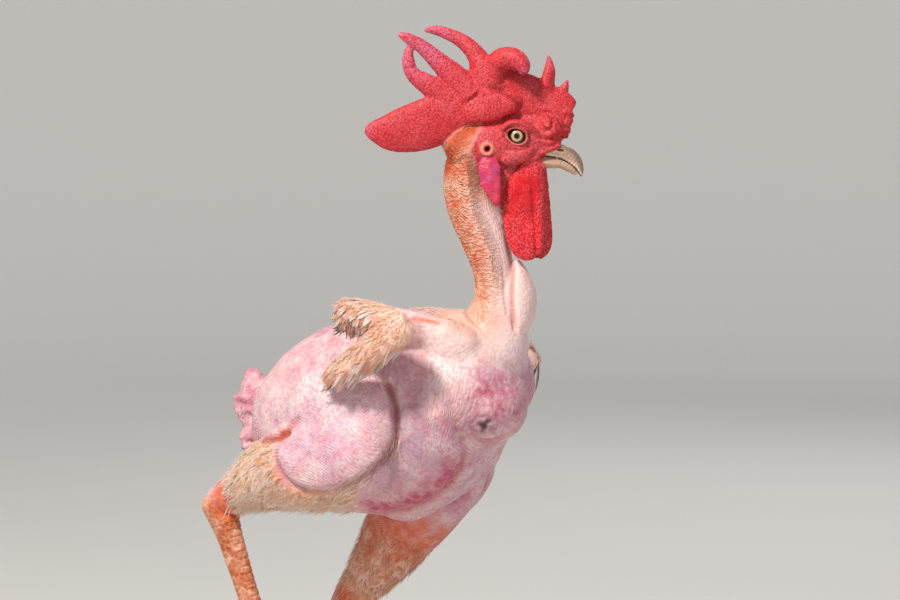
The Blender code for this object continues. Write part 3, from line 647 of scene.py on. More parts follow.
soup, bodySoup, headSoup, fineSoup = newSoup(), newSoup(), newSoup(), newSoup()
pourNeck(headSoup)
for pourers, into in (
    ((pourTrunk, pourNeck, pourThighs, pourUpperArms), bodySoup),
    ((pourSkull,), headSoup),
    ((pourThroat, pourFeet, pourWings, pourFace, pourComb), fineSoup),
):
    for pourer in pourers:
        pourer(soup)
        pourer(into)
looseForms = BVHTree.FromPolygons(soup["points"], soup["faces"])


def onSkin(u, v):  # where a pixel of the photo falls on the bird
    eye, way = photoRay(u, v)
    hit = looseForms.ray_cast(eye, way)[0]
    return np.array(hit or looseForms.find_nearest(eye + way * (photoView["distance"] + 40))[0])


def melted(name, forms, voxel, rounding):
    obj = newObject(name, forms["points"], forms["faces"])
    melt = obj.modifiers.new("melt", "REMESH")
    melt.mode = "VOXEL"
    melt.voxel_size = voxel * mm
    soften = obj.modifiers.new("soften", "SMOOTH")
    soften.factor = 0.5
    soften.iterations = rounding
    return applied(obj)


def meltedSkin():  # the body and the head flow together first, then the finer forms join them
    for name, forms in (("body", bodySoup), ("head", headSoup)):
        form = melted(name + "_form", forms, skin[name + "Voxel"], skin[name + "Rounding"])
        corners = readPoints(form.data)
        pour(fineSoup, name, (corners, [tuple(face.vertices) for face in form.data.polygons]))
        bpy.data.objects.remove(form)
    return melted("bird_skin", fineSoup, skin["voxel"], skin["rounding"])


skinPiece = meltedSkin()
skinMesh = skinPiece.data
points = readPoints(skinMesh)
normals = readNormals(skinMesh)
edges = readEdges(skinMesh)
valence = np.maximum(np.bincount(edges.ravel(), minlength=len(points)), 1)
print("Skin melted,", len(points), "points")


def spread(values, times):  # lets a value run out over the skin
    for _ in range(times):
        gathered = np.bincount(edges[:, 0], values[edges[:, 1]], len(values))
        gathered += np.bincount(edges[:, 1], values[edges[:, 0]], len(values))
        values = 0.5 * values + 0.5 * gathered / valence
    return values


nearest = np.array([looseForms.find_nearest(Vector(p))[2] for p in points])
zoneOf = np.array(soup["zones"])[nearest]
zone = {name: spread((zoneOf == name).astype(float), skin["softEdge"]) for name in skin["zones"]}
print("Zones found")


# folds and furrows pressed into the skin

# each line is drawn on the photo, or on the bird's left flank in millimetres (x, z); the skin sinks
# along it and swells on the side to the right (1) or left (-1) of its run. After the line come that
# side, the furrow's depth and width, the swell's height, and where it is highest and where it ends
furrows = {
    "photo": {
        "thigh": ([(380, 372), (388, 386), (394, 403), (396.5, 421), (396, 437), (390, 452), (380, 464),
                   (367, 475), (351, 485), (334, 491)], 1, 2.6, 1.9, 3.6, 6.5, 40),
        "calf": ([(334, 491), (318, 492), (303, 489), (289, 482), (279, 470), (275, 456), (279, 445)],
                 1, 1.6, 2.2, 2.6, 6.0, 26),
        "dimpleBack": ([(257, 442), (266, 440), (274, 438), (284, 434), (290, 430)],
                       -1, 3.4, 2.2, 1.6, 4.5, 14),
        "dimpleUp": ([(283, 434), (288, 429), (294, 423), (299, 416)], -1, 1.6, 1.4, 0.6, 3.0, 8),
        "dimpleTop": ([(280, 435), (277, 428), (276, 420)], 1, 0.9, 1.2, 0.4, 3.0, 8),
        "hockFront": ([(222, 492), (226, 500), (232, 507), (243, 509)], 1, 1.8, 1.6, 0.8, 3.0, 8),
        "hockFold": ([(224, 505), (230, 513), (240, 518)], -1, 1.2, 1.3, 0.5, 2.0, 6),
        "throat": ([(506, 236), (511, 252), (513, 268), (512, 286), (512, 304), (514, 320), (516, 334)],
                   -1, 2.4, 1.7, 1.2, 4.0, 16),
        "neckSide": ([(502, 262), (504, 280), (505, 298), (508, 318)], 1, 0.9, 1.2, 0.4, 2.5, 8),
        "neckBack": ([(474, 264), (479, 276), (483, 290), (488, 303)], 1, 1.1, 1.1, 0.6, 2.5, 9),
        "cropBack": ([(446, 402), (452, 414), (458, 428), (463, 444), (465, 457)], 1, 1.0, 3.0, 1.4, 6.0, 24),
        "cropUnder": ([(467, 432), (478, 440), (491, 442), (505, 437)], -1, 1.4, 2.6, 1.4, 6.0, 24),
        "keel": ([(467, 452), (461, 468), (452, 481), (441, 493), (425, 504), (406, 511), (385, 514)],
                 1, 2.2, 2.0, 1.8, 5.0, 22),
        "shoulder": ([(417, 322), (421, 338), (423, 356), (421, 376), (414, 396), (404, 412)],
                     -1, 1.2, 5.0, 1.4, 9.0, 30),
        "jowl": ([(499, 162), (505, 166), (514, 166.5), (523, 164), (531, 160)], -1, 1.2, 0.9, 0.9, 1.6, 6),
        "underEye": ([(500, 141), (505, 147), (513, 150.5), (523, 149.5), (531, 145)],
                     -1, 0.7, 0.8, 0.5, 1.4, 5),
        "lidFold": ([(503, 133), (508, 127.5), (516, 125), (525, 127), (530, 133)],
                    -1, 0.9, 0.8, 0.7, 1.5, 5),
        "lidFoldUpper": ([(497, 131), (503, 123), (513, 119.5), (522, 120)], -1, 0.6, 0.8, 0.4, 1.5, 5),
        "combSeat": ([(462, 133), (470, 127), (480, 124), (490, 124), (500, 121.5), (508, 117), (518, 114)],
                     -1, 1.9, 1.3, 1.4, 3.0, 14),
        "combFold": ([(487, 88), (497, 90), (508, 94), (517, 101), (521, 110)], 1, 1.8, 1.6, 1.5, 3.0, 14),
        "combBrow": ([(540, 118), (546, 113), (552, 118), (552, 127), (546, 131)], 1, 1.3, 1.0, 1.0, 2.0, 6),
        "combFront": ([(538, 136), (545, 139), (553, 138), (560, 133)], -1, 1.2, 0.9, 0.9, 2.0, 6),
        "combFrontLow": ([(540, 143), (548, 146), (557, 144)], -1, 1.0, 0.8, 0.7, 1.6, 5),
    },
    "flank": {
        "thigh": ([(30, 225), (39, 208), (43, 190), (42, 172), (34, 154), (20, 138), (2, 126), (-14, 121)],
                  1, 2.4, 2.0, 3.2, 6.5, 36),
        "calf": ([(-14, 121), (-28, 128), (-38, 140), (-42, 156)], 1, 1.4, 2.2, 2.0, 6.0, 24),
    },
}
pressing = {
    "steps": 8,  # of the curve between two marks
    "flankDepth": 52.0,  # how far out the left flank lies
    "through": (20, 34),  # how far a line's press reaches into the bird
    "atOnce": 20000,  # points measured in one go
}


def photoPlane(places):  # where points fall on the photo, in pixels, and how near they are
    right, up, back = [np.array(axis) for axis in viewAxes()]
    off = places - np.array(photoView["target"])
    scale = photoView["pixels"][0] / photoView["width"]
    near = off @ back
    grow = scale * photoView["distance"] / (photoView["distance"] - near)
    u = photoView["pixels"][0] / 2 + (off @ right) * grow
    v = photoView["pixels"][1] / 2 - (off @ up) * grow
    return np.stack([u, v], axis=1), near


def closestMarks(places, marks):
    found = np.empty(len(places), int)
    for start in range(0, len(places), pressing["atOnce"]):
        part = slice(start, start + pressing["atOnce"])
        found[part] = ((places[part][:, None, :] - marks[None, :, :]) ** 2).sum(2).argmin(1)
    return found


def press(drawnOn, line, side, depth, width, swell, rise, fall):  # how far each point moves outward
    marks = smoothRows(line, pressing["steps"])
    if drawnOn == "photo":
        scale = photoView["width"] / photoView["pixels"][0]
        depths = [photoPlane(onSkin(u, v)[None])[1][0] for u, v in line]
        depths = np.interp(np.arange(len(marks)) / pressing["steps"], np.arange(len(depths)), depths)
        marks, places, level, turned, hand = marks * scale, seen * scale, near, facing, 1
    else:
        depths = np.full(len(marks), pressing["flankDepth"])
        places, level, turned, hand = points[:, (0, 2)], points[:, 1], normals[:, 1], -1
    reach = rise + fall
    inside = np.all((places > marks.min(0) - reach) & (places < marks.max(0) + reach), axis=1)
    index = np.nonzero(inside & (turned > -0.1))[0]
    closest = closestMarks(places[index], marks)
    tangent = np.gradient(marks, axis=0)
    turn = (tangent / np.linalg.norm(tangent, axis=1)[:, None])[closest]
    off = places[index] - marks[closest]
    d = np.linalg.norm(off, axis=1)
    past = (off * turn).sum(1)  # beyond an end of the line
    d = np.where(np.abs(past) > 0.9 * d, d, np.sqrt(np.maximum(d * d - past * past * 0.5, 0)))
    swollen = (turn[:, 0] * off[:, 1] - turn[:, 1] * off[:, 0]) * hand * side > 0
    lift = ease(d, 0, rise) * (1 - ease(d, rise, fall))
    ends = np.minimum(closest, len(marks) - 1 - closest) / len(marks)
    kept = ease(ends, -0.03, 0.14) * ease(turned[index], 0.0, 0.3)
    kept *= 1 - ease(np.abs(level[index] - depths[closest]), *pressing["through"])
    moved = np.zeros(len(points))
    moved[index] = (np.where(swollen, swell * lift, 0) - depth * bump(d, width)) * kept
    return moved


seen, near = photoPlane(points)
facing = normals @ np.array(viewAxes()[2])
folds = np.zeros(len(points))
for drawnOn, lines in furrows.items():
    for shape in lines.values():
        folds += press(drawnOn, *shape)
folds = spread(folds, 3)
points += normals * folds[:, None]
print("Folds pressed")


# openings for the eyes and ears

lidEdge = {  # measured on the ring about the opening: 1 is its edge
    "slant": 0.16,  # how the opening runs down to the front
    "sunk": (4.5, 0.9, 1.06),
    "rims": [(-0.45, 1.17, 0.11), (0.6, 1.42, 0.09)],
    "earSunk": (4.0, 0.4, 1.2),
    "beside": 6.0,  # how far from the head's middle the eyes and ears lie
}


def lidRing():  # 1 on the edge of the opening between the lids, less inside it
    f, _, h = headSpace.T
    x, z = head["gaze"]
    wide, above, below = head["window"]
    across = (f - x) / wide
    rise = (h - z) + lidEdge["slant"] * (f - x)
    rise = np.where(rise > 0, rise / above, rise / below)
    return (np.abs(across) ** 1.7 + np.abs(rise) ** 2.0) ** 0.5


def openingSink():  # how far the skin sinks in, or stands out, at the eyes and ears
    f, s, h = headSpace.T
    deep, inner, outer = lidEdge["sunk"]
    sink = deep * (1 - ease(ring, inner, outer))
    for tall, place, width in lidEdge["rims"]:
        sink += tall * bump(ring - place, width)
    x, _, z = head["ear"]
    deep, inner, outer = lidEdge["earSunk"]
    hole = np.hypot(f - x - 0.6, (h - z) * 0.8)
    sink += deep * (1 - ease(hole, inner * head["earHole"], outer * head["earHole"]))
    return sink * np.sign(s) * (np.abs(s) > lidEdge["beside"])


headSpace = inHead(points)
ring = lidRing()
headAcross = np.array(headPoint(0, 1, 0) - headPoint(0, 0, 0))
points -= headAcross * openingSink()[:, None]


# fine relief: pebbled neck and face, granular comb with its ribs, scaled shanks, wrinkled tail

relief = {
    "neckPebble": (2.5, 0.55),
    "facePebble": (2.2, 0.2),
    "faceCrease": (2.6, 0.16),
    "combGrain": (1.9, 0.15),
    "tailFold": (6.0, 1.7),
    "bodySag": (16.0, 0.6),
    "bodyCrease": (3.4, 0.05),
    "ribSpacing": 2.3,
    "ribHeight": 0.2,
    "frontFold": (4.6, 0.4),
    "scute": (5.2, 0.5),
    "netScale": (2.7, 0.28),
}


def boneLines(side):  # the shank and the toes as lines with the way that their scutes face
    top = leg["hock"][side]
    down = shankWay(side)
    lines = [([top + down * leg["shankLength"] * k / 24 for k in range(25)], Vector((-down.z, 0, down.x)))]
    for name in toes:
        rows = smoothRows(toeRows(side, name), 4)
        facing = Vector((0, 0, 1)) if side == "left" else toeHeading(side, name)
        lines.append(([Vector(row[:3]) for row in rows], facing))
    return lines


def scaledRelief(points, normals, picked):
    height = np.zeros(len(points))
    spacing, tall = relief["scute"]
    cells = cellField(points[picked], relief["netScale"][0], 3)
    net = relief["netScale"][1] * (0.5 - cells)
    best = np.full(len(picked), 1e9)
    scutes = np.zeros(len(picked))
    front = np.zeros(len(picked))
    for side in sides:
        for line, facing in boneLines(side):
            marks = np.array([tuple(p) for p in line])
            along = np.concatenate([[0], np.cumsum(np.linalg.norm(np.diff(marks, axis=0), axis=1))])
            apart = points[picked][:, None, :] - marks[None, :, :]
            distance = np.sqrt((apart**2).sum(2))
            closest = distance.argmin(1)
            nearer = distance.min(1) < best
            way = (marks[-1] - marks[0]) / np.linalg.norm(marks[-1] - marks[0])
            place = along[closest] + (apart[np.arange(len(picked)), closest] @ way)
            saw = (place / spacing) % 1.0
            profile = tall * (0.35 + 0.65 * saw - 1.5 * bump(saw - 1, 0.12) - 1.2 * bump(saw, 0.08))
            scutes = np.where(nearer, profile, scutes)
            front = np.where(nearer, normals[picked] @ np.array(facing), front)
            best = np.where(nearer, distance.min(1), best)
    share = ease(front, 0.25, 0.6)
    height[picked] = scutes * share + net * (1 - share)
    behind = np.zeros(len(points))
    behind[picked] = ease(-front, 0.45, 0.85)
    return height, behind


def grainPhase():  # a length that grows across the skin's fine creases
    x, _, z = points.T
    f, s, h = headSpace.T
    bend = 9 * noiseField(points, 46, 61) + 3 * noiseField(points, 15, 62)
    onThigh = spread(zone["leg"], 10)
    thigh = 0.92 * (z + 0.0075 * (x + 20) ** 2) + 0.25 * x
    crop = np.linalg.norm(points - np.array(trunk["crop"][0]), axis=1)
    belly = 0.8 * z - 0.6 * x
    front = ease(x, 10, 62)
    trunkPhase = belly * (1 - front) + crop * front
    body = thigh * onThigh + trunkPhase * (1 - onThigh)
    down = ease(f - np.interp(h, neckLine["height"], neckLine["middle"]), -4, 6)
    neckPhase = (h + 2.0 * np.abs(s)) * (1 - down) + 1.3 * s * down
    return (body + bend) * (1 - zone["neck"]) + (neckPhase + 0.5 * bend) * zone["neck"]


neckLine = {"height": (-40, 9, 34, 60, 90), "middle": (26, 32, 29, 18, 14)}


def fineRelief(phase):
    f, _, h = headSpace.T
    flesh = np.clip(zone["trunk"] + zone["leg"], 0, 1)
    height = relief["bodySag"][1] * noiseField(points, relief["bodySag"][0], 1) * flesh
    spacing, tall = relief["bodyCrease"]
    gaps = np.clip(0.5 + 1.5 * noiseField(points, 11, 63), 0, 1) * steady
    height += tall * np.sin(phase * 2 * math.pi / spacing) * gaps * flesh
    picked = np.nonzero(zone["neck"] > 0.02)[0]
    size, tall = relief["neckPebble"]
    wavy = headSpace[picked].copy()  # short creases that run across the neck
    wavy[:, 2] = wavy[:, 2] * 1.55 + 1.4 * noiseField(headSpace[picked], 5, 64)
    wavy[:, :2] *= 0.5
    cells = cellField(wavy, size, 5)
    back = 1 - ease(f[picked] - np.interp(h[picked], neckLine["height"], neckLine["middle"]), -3, 9)
    back *= ease(h[picked], -30, 25)
    height[picked] += tall * (0.5 - cells) * zone["neck"][picked] * (0.12 + 0.88 * back)
    # the cracks between the neck's pebbles, which are painted rust: partly the skin's own colour, partly
    # painted shade
    crevice = np.zeros(len(points))
    crevice[picked] = cells * back
    picked = np.nonzero(zone["face"] > 0.02)[0]
    size, tall = relief["facePebble"]
    grain = tall * (0.5 - cellField(points[picked], size, 6))
    spacing, tall = relief["faceCrease"]
    below = 95 - h[picked]
    slant = 0.75 * f[picked] + 0.66 * h[picked] + 2.5 * noiseField(points[picked], 8, 65)
    grain += tall * (0.5 + 1.2 * ease(below, -4, 6)) * np.sin(slant * 2 * math.pi / spacing)
    height[picked] += grain * zone["face"][picked]
    picked = np.nonzero(zone["comb"] > 0.02)[0]
    size, tall = relief["combGrain"]
    grain = tall * (0.5 - cellField(points[picked], size, 7))
    wander = noiseField(points[picked], 9, 8)
    near = bump((f[picked] - 24) / 17, 1) * bump((h[picked] - 127) / 9, 1)
    ribs = relief["ribHeight"] * np.sin((f[picked] + 2.5 * wander) * 2 * math.pi / relief["ribSpacing"])
    size, tall = relief["frontFold"]
    low = 1 - ease(h[picked] - 128, -6, 6)
    ahead = ease(f[picked], 56, 62) * low
    curl = np.sin((h[picked] * 0.8 + f[picked] * 0.55 + 5 * wander) * 2 * math.pi / size)
    height[picked] += (grain + ribs * near + tall * curl * ahead) * zone["comb"][picked]
    picked = np.nonzero(zone["tail"] > 0.02)[0]
    size, tall = relief["tailFold"]
    ripple = np.sin(points[picked, 2] * 2 * math.pi / 9 + 3 * noiseField(points[picked], 14, 9))
    height[picked] += tall * (noiseField(points[picked], size, 10) + 0.4 * ripple) * zone["tail"][picked]
    picked = np.nonzero(zone["shank"] > 0.02)[0]
    scales, behind = scaledRelief(points, normals, picked)
    return height + scales * zone["shank"], crevice, behind


phase = grainPhase()
nearNeck, nearWing = spread(zone["neck"], 20), spread(zone["wing"], 20)
# 0 where one lie of the creases gives way to another
steady = np.clip(1 - 4 * nearNeck * (1 - nearNeck) - 3 * nearWing, 0, 1)
height, crevice, shankBack = fineRelief(phase)
points += normals * height[:, None]
points[:, 2] = np.maximum(points[:, 2], leg["floor"] + 0.02)
writePoints(skinMesh, points)
normals = readNormals(skinMesh)
print("Relief set")


# where each colour of the skin lies

def spot(u, v, size, stretch=1.0, turn=0.0):  # a soft patch about a place on the photo, and its mirror
    centre = onSkin(u, v)
    c, s = math.cos(math.radians(turn)), math.sin(math.radians(turn))
    found = np.zeros(len(points))
    for out in (-1, 1):
        off = points - centre * np.array((1, -out, 1))
        along, rise = c * off[:, 0] + s * off[:, 2], c * off[:, 2] - s * off[:, 0]
        found += bump(np.sqrt((along / stretch) ** 2 + off[:, 1] ** 2 + rise**2), size)
    return found


def band(marks, size):  # along a line of photo points, and its mirror
    line = smoothRows([onSkin(u, v) for u, v in marks], 8)
    near = np.full(len(points), 1e9)
    for mark in line:
        for out in (-1, 1):
            near = np.minimum(near, np.linalg.norm(points - mark * np.array((1, -out, 1)), axis=1))
    return bump(near, size)


def insideOutline(places, outline, soft):  # 1 inside a closed outline, 0 outside, soft at its edge
    u, v = places.T
    inside = np.zeros(len(u), bool)
    near = np.full(len(u), 1e9)
    for (u1, v1), (u2, v2) in zip(outline, outline[1:] + outline[:1]):
        across, down = u2 - u1, v2 - v1
        if down:
            inside ^= ((v1 > v) != (v2 > v)) & (u < across * (v - v1) / down + u1)
        run = np.clip(((u - u1) * across + (v - v1) * down) / (across**2 + down**2), 0, 1)
        near = np.minimum(near, np.hypot(u - u1 - run * across, v - v1 - run * down))
    return np.where(inside, ease(near, -soft, soft), 1 - ease(near, -soft, soft))


tones = {  # pixels of the photo where nothing else is said
    "keelBand": [(350, 506), (372, 508), (392, 507), (412, 500), (430, 490), (444, 478), (454, 463)],
    "redEdge": ((48, 36), (60, 34), (67, 30), (83, 21), (100, 13), (119, 20), (125, 22)),  # height, forward
    "napeStain": [(-3, 90), (-1, 97), (3, 105), (8, 111), (15, 116)],  # forward, height
    "neckRoot": (28, -4, -16),  # in the head's frame
    "scapular": [(415, 319), (425, 320), (437, 324)],
    "goldEdge": [(277, 474), (286, 487), (300, 496), (318, 500), (338, 499)],
    "nearDown": [(244, 444), (272, 440), (270, 456), (275, 474), (288, 488), (310, 493), (334, 492),
                 (354, 478), (358, 492), (348, 520), (240, 522), (222, 488), (232, 470)],
    "hockMarks": {"heel": [(-6, -9, 9)], "hock": [(11, -3, 10), (8, 9, 6)]},  # ahead, down, size
    "combTips": (24, 24, 13, 7, 5),  # how far the mauve runs from each point's tip
    "foldTip": (48, -16, 152, 7),  # in the head's frame, and its size
}
# strength, (u, v, size, stretch, turn), and the level, patches and specks of the noise that breaks it up
spots = {
    "orange": [(0.9, (281, 435, 5.5)), (0.5, (266, 440, 4, 2.2)), (0.35, (291, 427, 6)),
               (0.35, (498, 322, 7))],
    "rose": [
        (0.62, (494, 400, 23, 1.1), 0.75, 0.35, 0.3),
        (0.35, (474, 388, 12), 0.4, 0.5, 0.3),
        (0.5, (440, 424, 12, 1.4, -40), 0.2, 1),
    ],
    "lilac": [(0.5, place) for place in (
        (330, 395, 34), (300, 410, 30), (330, 455, 20), (420, 460, 22), (440, 440, 18),
    )],
    # cream: pale patches over the most lit parts of the thigh, flank and breast, a painted highlight
    "cream": [(1.3, (452, 352, 26)), (0.7, (470, 335, 16)), (0.4, (345, 415, 16)), (0.5, (270, 402, 24)),
              (0.6, (304, 398, 24))],
    "scab": [(1.3, (483, 424, 5.5, 1.4), 0.75, 0, 1)],
    "dimple": [(1.3, (282, 435, 4))],
}
patchy, tiny, broad = noiseField(points, 9, 11), noiseField(points, 3.5, 13), noiseField(points, 30, 12)


def speckled(level=1.0, patches=0.0, specks=0.0):  # a level broken up by noise
    return np.clip(level + patches * patchy + specks * tiny, 0, 1)


def spotted(name):
    return sum(strength * spot(*place) * speckled(*noisy) for strength, place, *noisy in spots[name])


def alongBone(side):  # 0 at the knee, 1 at the hock
    low, high = np.array(leg["knee"][side]), np.array(leg["hock"][side])
    return (points - low) @ (high - low) / ((high - low) @ (high - low))


def downCover(side):  # how thick the down stands on the drumstick
    share = alongBone(side)
    if side == "right":
        ragged = seen + 7 * np.stack([noiseField(points, 5, 54), noiseField(points, 5, 55)], axis=1)
        covered = insideOutline(ragged, tones["nearDown"], 5) * ease(facing, -0.4, 0.1)
        inner = ease(share, 0.3, 0.6) * ease(normals[:, 1], 0, 0.4)
        covered = np.maximum(covered, inner)
    else:
        # the far drumstick's lower part; the cream skin painted there is partly the down's own colour, partly
        # a painted highlight where this leg is lit
        covered = ease(share + 0.12 * noiseField(points, 9, 55), 0.3, 0.6)
    covered = covered * np.clip(zone["leg"] + 0.5 * zone["trunk"], 0, 1) * (points[:, 1] * sides[side] > 0)
    return covered * (1 - zone["shank"]) * (1 - ease(share, 0.86, 0.95))


covers = {side: downCover(side) for side in sides}


def redMask():  # face, comb and the skin about them
    f, _, h = headSpace.T
    edge = np.interp(h, *zip(*tones["redEdge"]))
    onHead = np.clip(zone["face"] + zone["neck"], 0, 1) * ease(h, 44, 56)
    return np.clip(zone["comb"] + onHead * ease(f - edge + 1.6 * patchy + tiny, -2.5, 2.5), 0, 1)


def neckMasks(red):  # its root on the trunk, the neck, its pale front, and how near the nape's stain is
    f, _, h = headSpace.T
    off = (points - np.array(headPoint(*tones["neckRoot"]))) * (1, 0.8, 1)
    root = 1 - ease(np.linalg.norm(off, axis=1), 22, 52)
    whole = np.clip(np.maximum(spread(zone["neck"] + zone["face"], 12), root), 0, 1) * (1 - red)
    whole *= ease(h + 4 * patchy, -52, -12)
    centre = np.interp(h, neckLine["height"], neckLine["middle"])
    pale = ease(f - centre + 2 * patchy, -13, 8) * (1 - ease(h, 62, 84))
    pale = np.maximum(pale, 0.75 * (1 - ease(h + 6 * patchy, -30, 6)))
    stain = np.full(len(points), 1e9)
    for forward, height in smoothRows(tones["napeStain"], 6):
        stain = np.minimum(stain, np.hypot(f - forward, h - height))
    return root, whole, pale, stain


def hockMask(kind):  # the pink heel or the orange-red front of each hock
    found = np.zeros(len(points))
    for side in sides:
        down = shankWay(side)
        ahead = Vector((-down.z, 0, down.x))
        for fore, low, size in tones["hockMarks"][kind]:
            mark = leg["hock"][side] + ahead * fore + down * low
            off = np.hypot(points[:, 0] - mark.x, points[:, 2] - mark.z)
            found += bump(off, size) * (points[:, 1] * sides[side] > 0)
    return np.clip(found, 0, 1)


def farLegOrange():
    along = alongBone("left")
    high = bump((along + 0.25 * patchy - 0.42) / 0.2, 1) * ease(along, 0.1, 0.3)
    return zone["leg"] * (points[:, 1] > 0) * (0.95 * high + 0.5 * ease(along, 0.85, 0.95))


def faceMasks():  # pale rims and dark lines about the eyes and ears
    f, s, h = headSpace.T
    above = ease(h - head["gaze"][1], -1.5, 2.5)
    x, _, z = head["ear"]
    hole = np.hypot(f - x, h - z)
    # painted shade: the dark band under the upper lid, where the pale rim is left off, the faint line in the
    # lid's outer crease, and the dark in the ear's opening; a thin dark ring runs at the opening's edge
    pale = 0.9 * bump(ring - 1.18, 0.09) * (1 - 0.9 * above) + bump(hole - 3.4, 1.3)
    dark = bump(ring - 1.02, 0.06) + 0.8 * above * bump(ring - 1.14, 0.11) + 0.35 * bump(ring - 1.42, 0.08)
    dark += 1 - ease(hole, 1.0, 2.0)
    beside = np.abs(s) > lidEdge["beside"]
    return pale * beside, dark * beside


def combTips():
    ends = [(*rows[-1][:3], size) for rows, size in zip(comb["points"], tones["combTips"])]
    tips = 0.5 * bump((headSpace[:, 0] + 56) / 8, 1) * zone["comb"]  # the blade's rear end
    for forward, side, height, size in ends + [tones["foldTip"]]:
        end = np.array(headPoint(forward, side, height))
        tips += bump(np.linalg.norm(points - end, axis=1), size)
    return np.clip(tips, 0, 1) * zone["comb"]


def skinMasks():
    red = redMask()
    root, neckWhole, neckPale, stain = neckMasks(red)
    pale, dark = faceMasks()
    heel, hock = hockMask("heel"), hockMask("hock")
    outerWing = zone["wing"] * ease(np.abs(points[:, 1]), 62, 74)
    flesh = np.clip(zone["trunk"] + zone["leg"], 0, 1)
    # the cream patches are a painted highlight; the creases are calmer under them
    cream = spotted("cream")
    nape = 1.2 * bump(stain, 6.5) * (1 - red) * speckled(0.85, 0, 0.7)
    orange = spotted("orange") + nape + farLegOrange()
    orange += 0.35 * outerWing * speckled(0.4, 0.8, 0.3) + 0.9 * band(tones["scapular"], 2.4)
    orange += 0.7 * band(tones["goldEdge"], 4.5) * speckled(0.7, 1, 0.5)
    rose = spotted("rose") + band(tones["keelBand"], 9.5) * speckled(0.95, 0.9, 0.3)
    rose += 0.6 * zone["tail"] * speckled(0.6, 0.8)
    rose += 0.55 * flesh * np.clip(0.55 * broad + 0.35 * patchy, 0, 1)
    lilac = spotted("lilac") + np.clip(0.35 + 0.9 * broad + 0.35 * patchy, 0, 1)
    # painted shade: rust where the pressed folds sink in and in the dimple's pit, added to the nape's own
    # rust-coloured stain
    shadeAndRust = spread(-folds / 3.0, 2) + spotted("dimple") + bump(stain, 6) * (1 - red)
    calm = (1 - 0.85 * root) * (1 - 0.55 * np.clip(cream, 0, 1)) * (0.15 + 0.85 * steady)
    found = {
        "redSkin": red,
        "combSkin": zone["comb"],
        "neckSkin": neckWhole,
        "paleSkin": neckPale,
        "orangeSkin": orange,
        "roseSkin": rose,
        "lilacSkin": lilac,
        "paintedHighlightSkin": cream,
        # on the far leg this cream is partly a painted highlight
        "downSkin": covers["right"] + 0.7 * covers["left"] + 0.8 * outerWing,
        "shankSkin": zone["shank"],
        "shankBack": shankBack,
        "heelSkin": heel * (1 - hock),
        "hockSkin": hock,
        "rimSkin": pale,
        # painted shade about the eyes and ears, and the scab's own dark
        "shadeAndScabSkin": dark + spotted("scab") * (points[:, 1] < 0),
        "combTip": combTips(),
        "shadeAndRust": shadeAndRust,
        "crackle": crevice,
        "grainAmount": calm * np.clip(1 - red - zone["shank"] - 0.6 * zone["wing"], 0, 1),
    }
    return {name: np.clip(values, 0, 1) for name, values in found.items()} | {"grainPhase": phase}


masks = skinMasks()
for name, values in masks.items():
    writeMask(skinMesh, name, values)
print("Colour zones set")


# materials

def tone(code):  # a hexadecimal colour as linear values
    parts = [int(code[i : i + 2], 16) / 255 for i in (0, 2, 4)]
    return tuple(c / 12.92 if c <= 0.04045 else ((c + 0.055) / 1.055) ** 2.4 for c in parts) + (1.0,)


def toneSet(codes):
    return {name: tone(code) for name, code in codes.items()}


def addNode(tree, kind, inputs=None, **settings):
    made = tree.nodes.new("ShaderNode" + kind)
    for name, value in settings.items():
        setattr(made, name, value)
    for name, value in (inputs or {}).items():
        if isinstance(value, bpy.types.NodeSocket):
            tree.links.new(value, made.inputs[name])
        else:
            made.inputs[name].default_value = value
    return made


def mathNode(tree, operation, *values, clamp=False):
    return addNode(tree, "Math", dict(enumerate(values)), operation=operation, use_clamp=clamp).outputs[0]


def times(tree, *values):
    product = values[0]
    for value in values[1:]:
        product = mathNode(tree, "MULTIPLY", product, value)
    return product


def scaled(tree, value, by, plus, clamp=False):
    return mathNode(tree, "MULTIPLY_ADD", value, by, plus, clamp=clamp)


def power(tree, value, exponent):
    return mathNode(tree, "POWER", value, exponent)


def rest(tree, value):  # what a mask leaves free
    return mathNode(tree, "SUBTRACT", 1.0, value, clamp=True)


def spanNode(tree, value, low, high, start=0.0, end=1.0):
    inputs = {"Value": value, "From Min": low, "From Max": high, "To Min": start, "To Max": end}
    return addNode(tree, "MapRange", inputs).outputs["Result"]


def noiseNode(tree, place, scale, detail, output="Fac"):
    return addNode(tree, "TexNoise", {"Vector": place, "Scale": scale, "Detail": detail}).outputs[output]


def mixNode(tree, share, first, second):
    return addNode(tree, "Mix", {0: share, 6: first, 7: second}, data_type="RGBA").outputs[2]


def layered(tree, colour, layers):  # lays tones over a colour, each by its own share
    for share, over in layers:
        colour = mixNode(tree, share, colour, over)
    return colour


def maskNode(tree, name):
    return addNode(tree, "Attribute", attribute_name=name).outputs["Fac"]


def newGroup(name, inputs, outputs):
    group = bpy.data.node_groups.new(name, "ShaderNodeTree")
    for label, kind, value in inputs:
        socket = group.interface.new_socket(name=label, in_out="INPUT", socket_type="NodeSocket" + kind)
        if value is not None:
            socket.default_value = value
    for label, kind in outputs:
        group.interface.new_socket(name=label, in_out="OUTPUT", socket_type="NodeSocket" + kind)
    return group, group.nodes.new("NodeGroupInput").outputs, group.nodes.new("NodeGroupOutput").inputs


def mottleGroup():  # soft uneven patches from 0 to 1
    group, given, result = newGroup(
        "softMottle",
        [("Vector", "Vector", None), ("Scale", "Float", 60.0), ("Low", "Float", 0.4),
         ("High", "Float", 0.6)],
        [("Mask", "Float")],
    )
    cloud = noiseNode(group, given["Vector"], given["Scale"], 4.0)
    group.links.new(spanNode(group, cloud, given["Low"], given["High"]), result["Mask"])
    return group


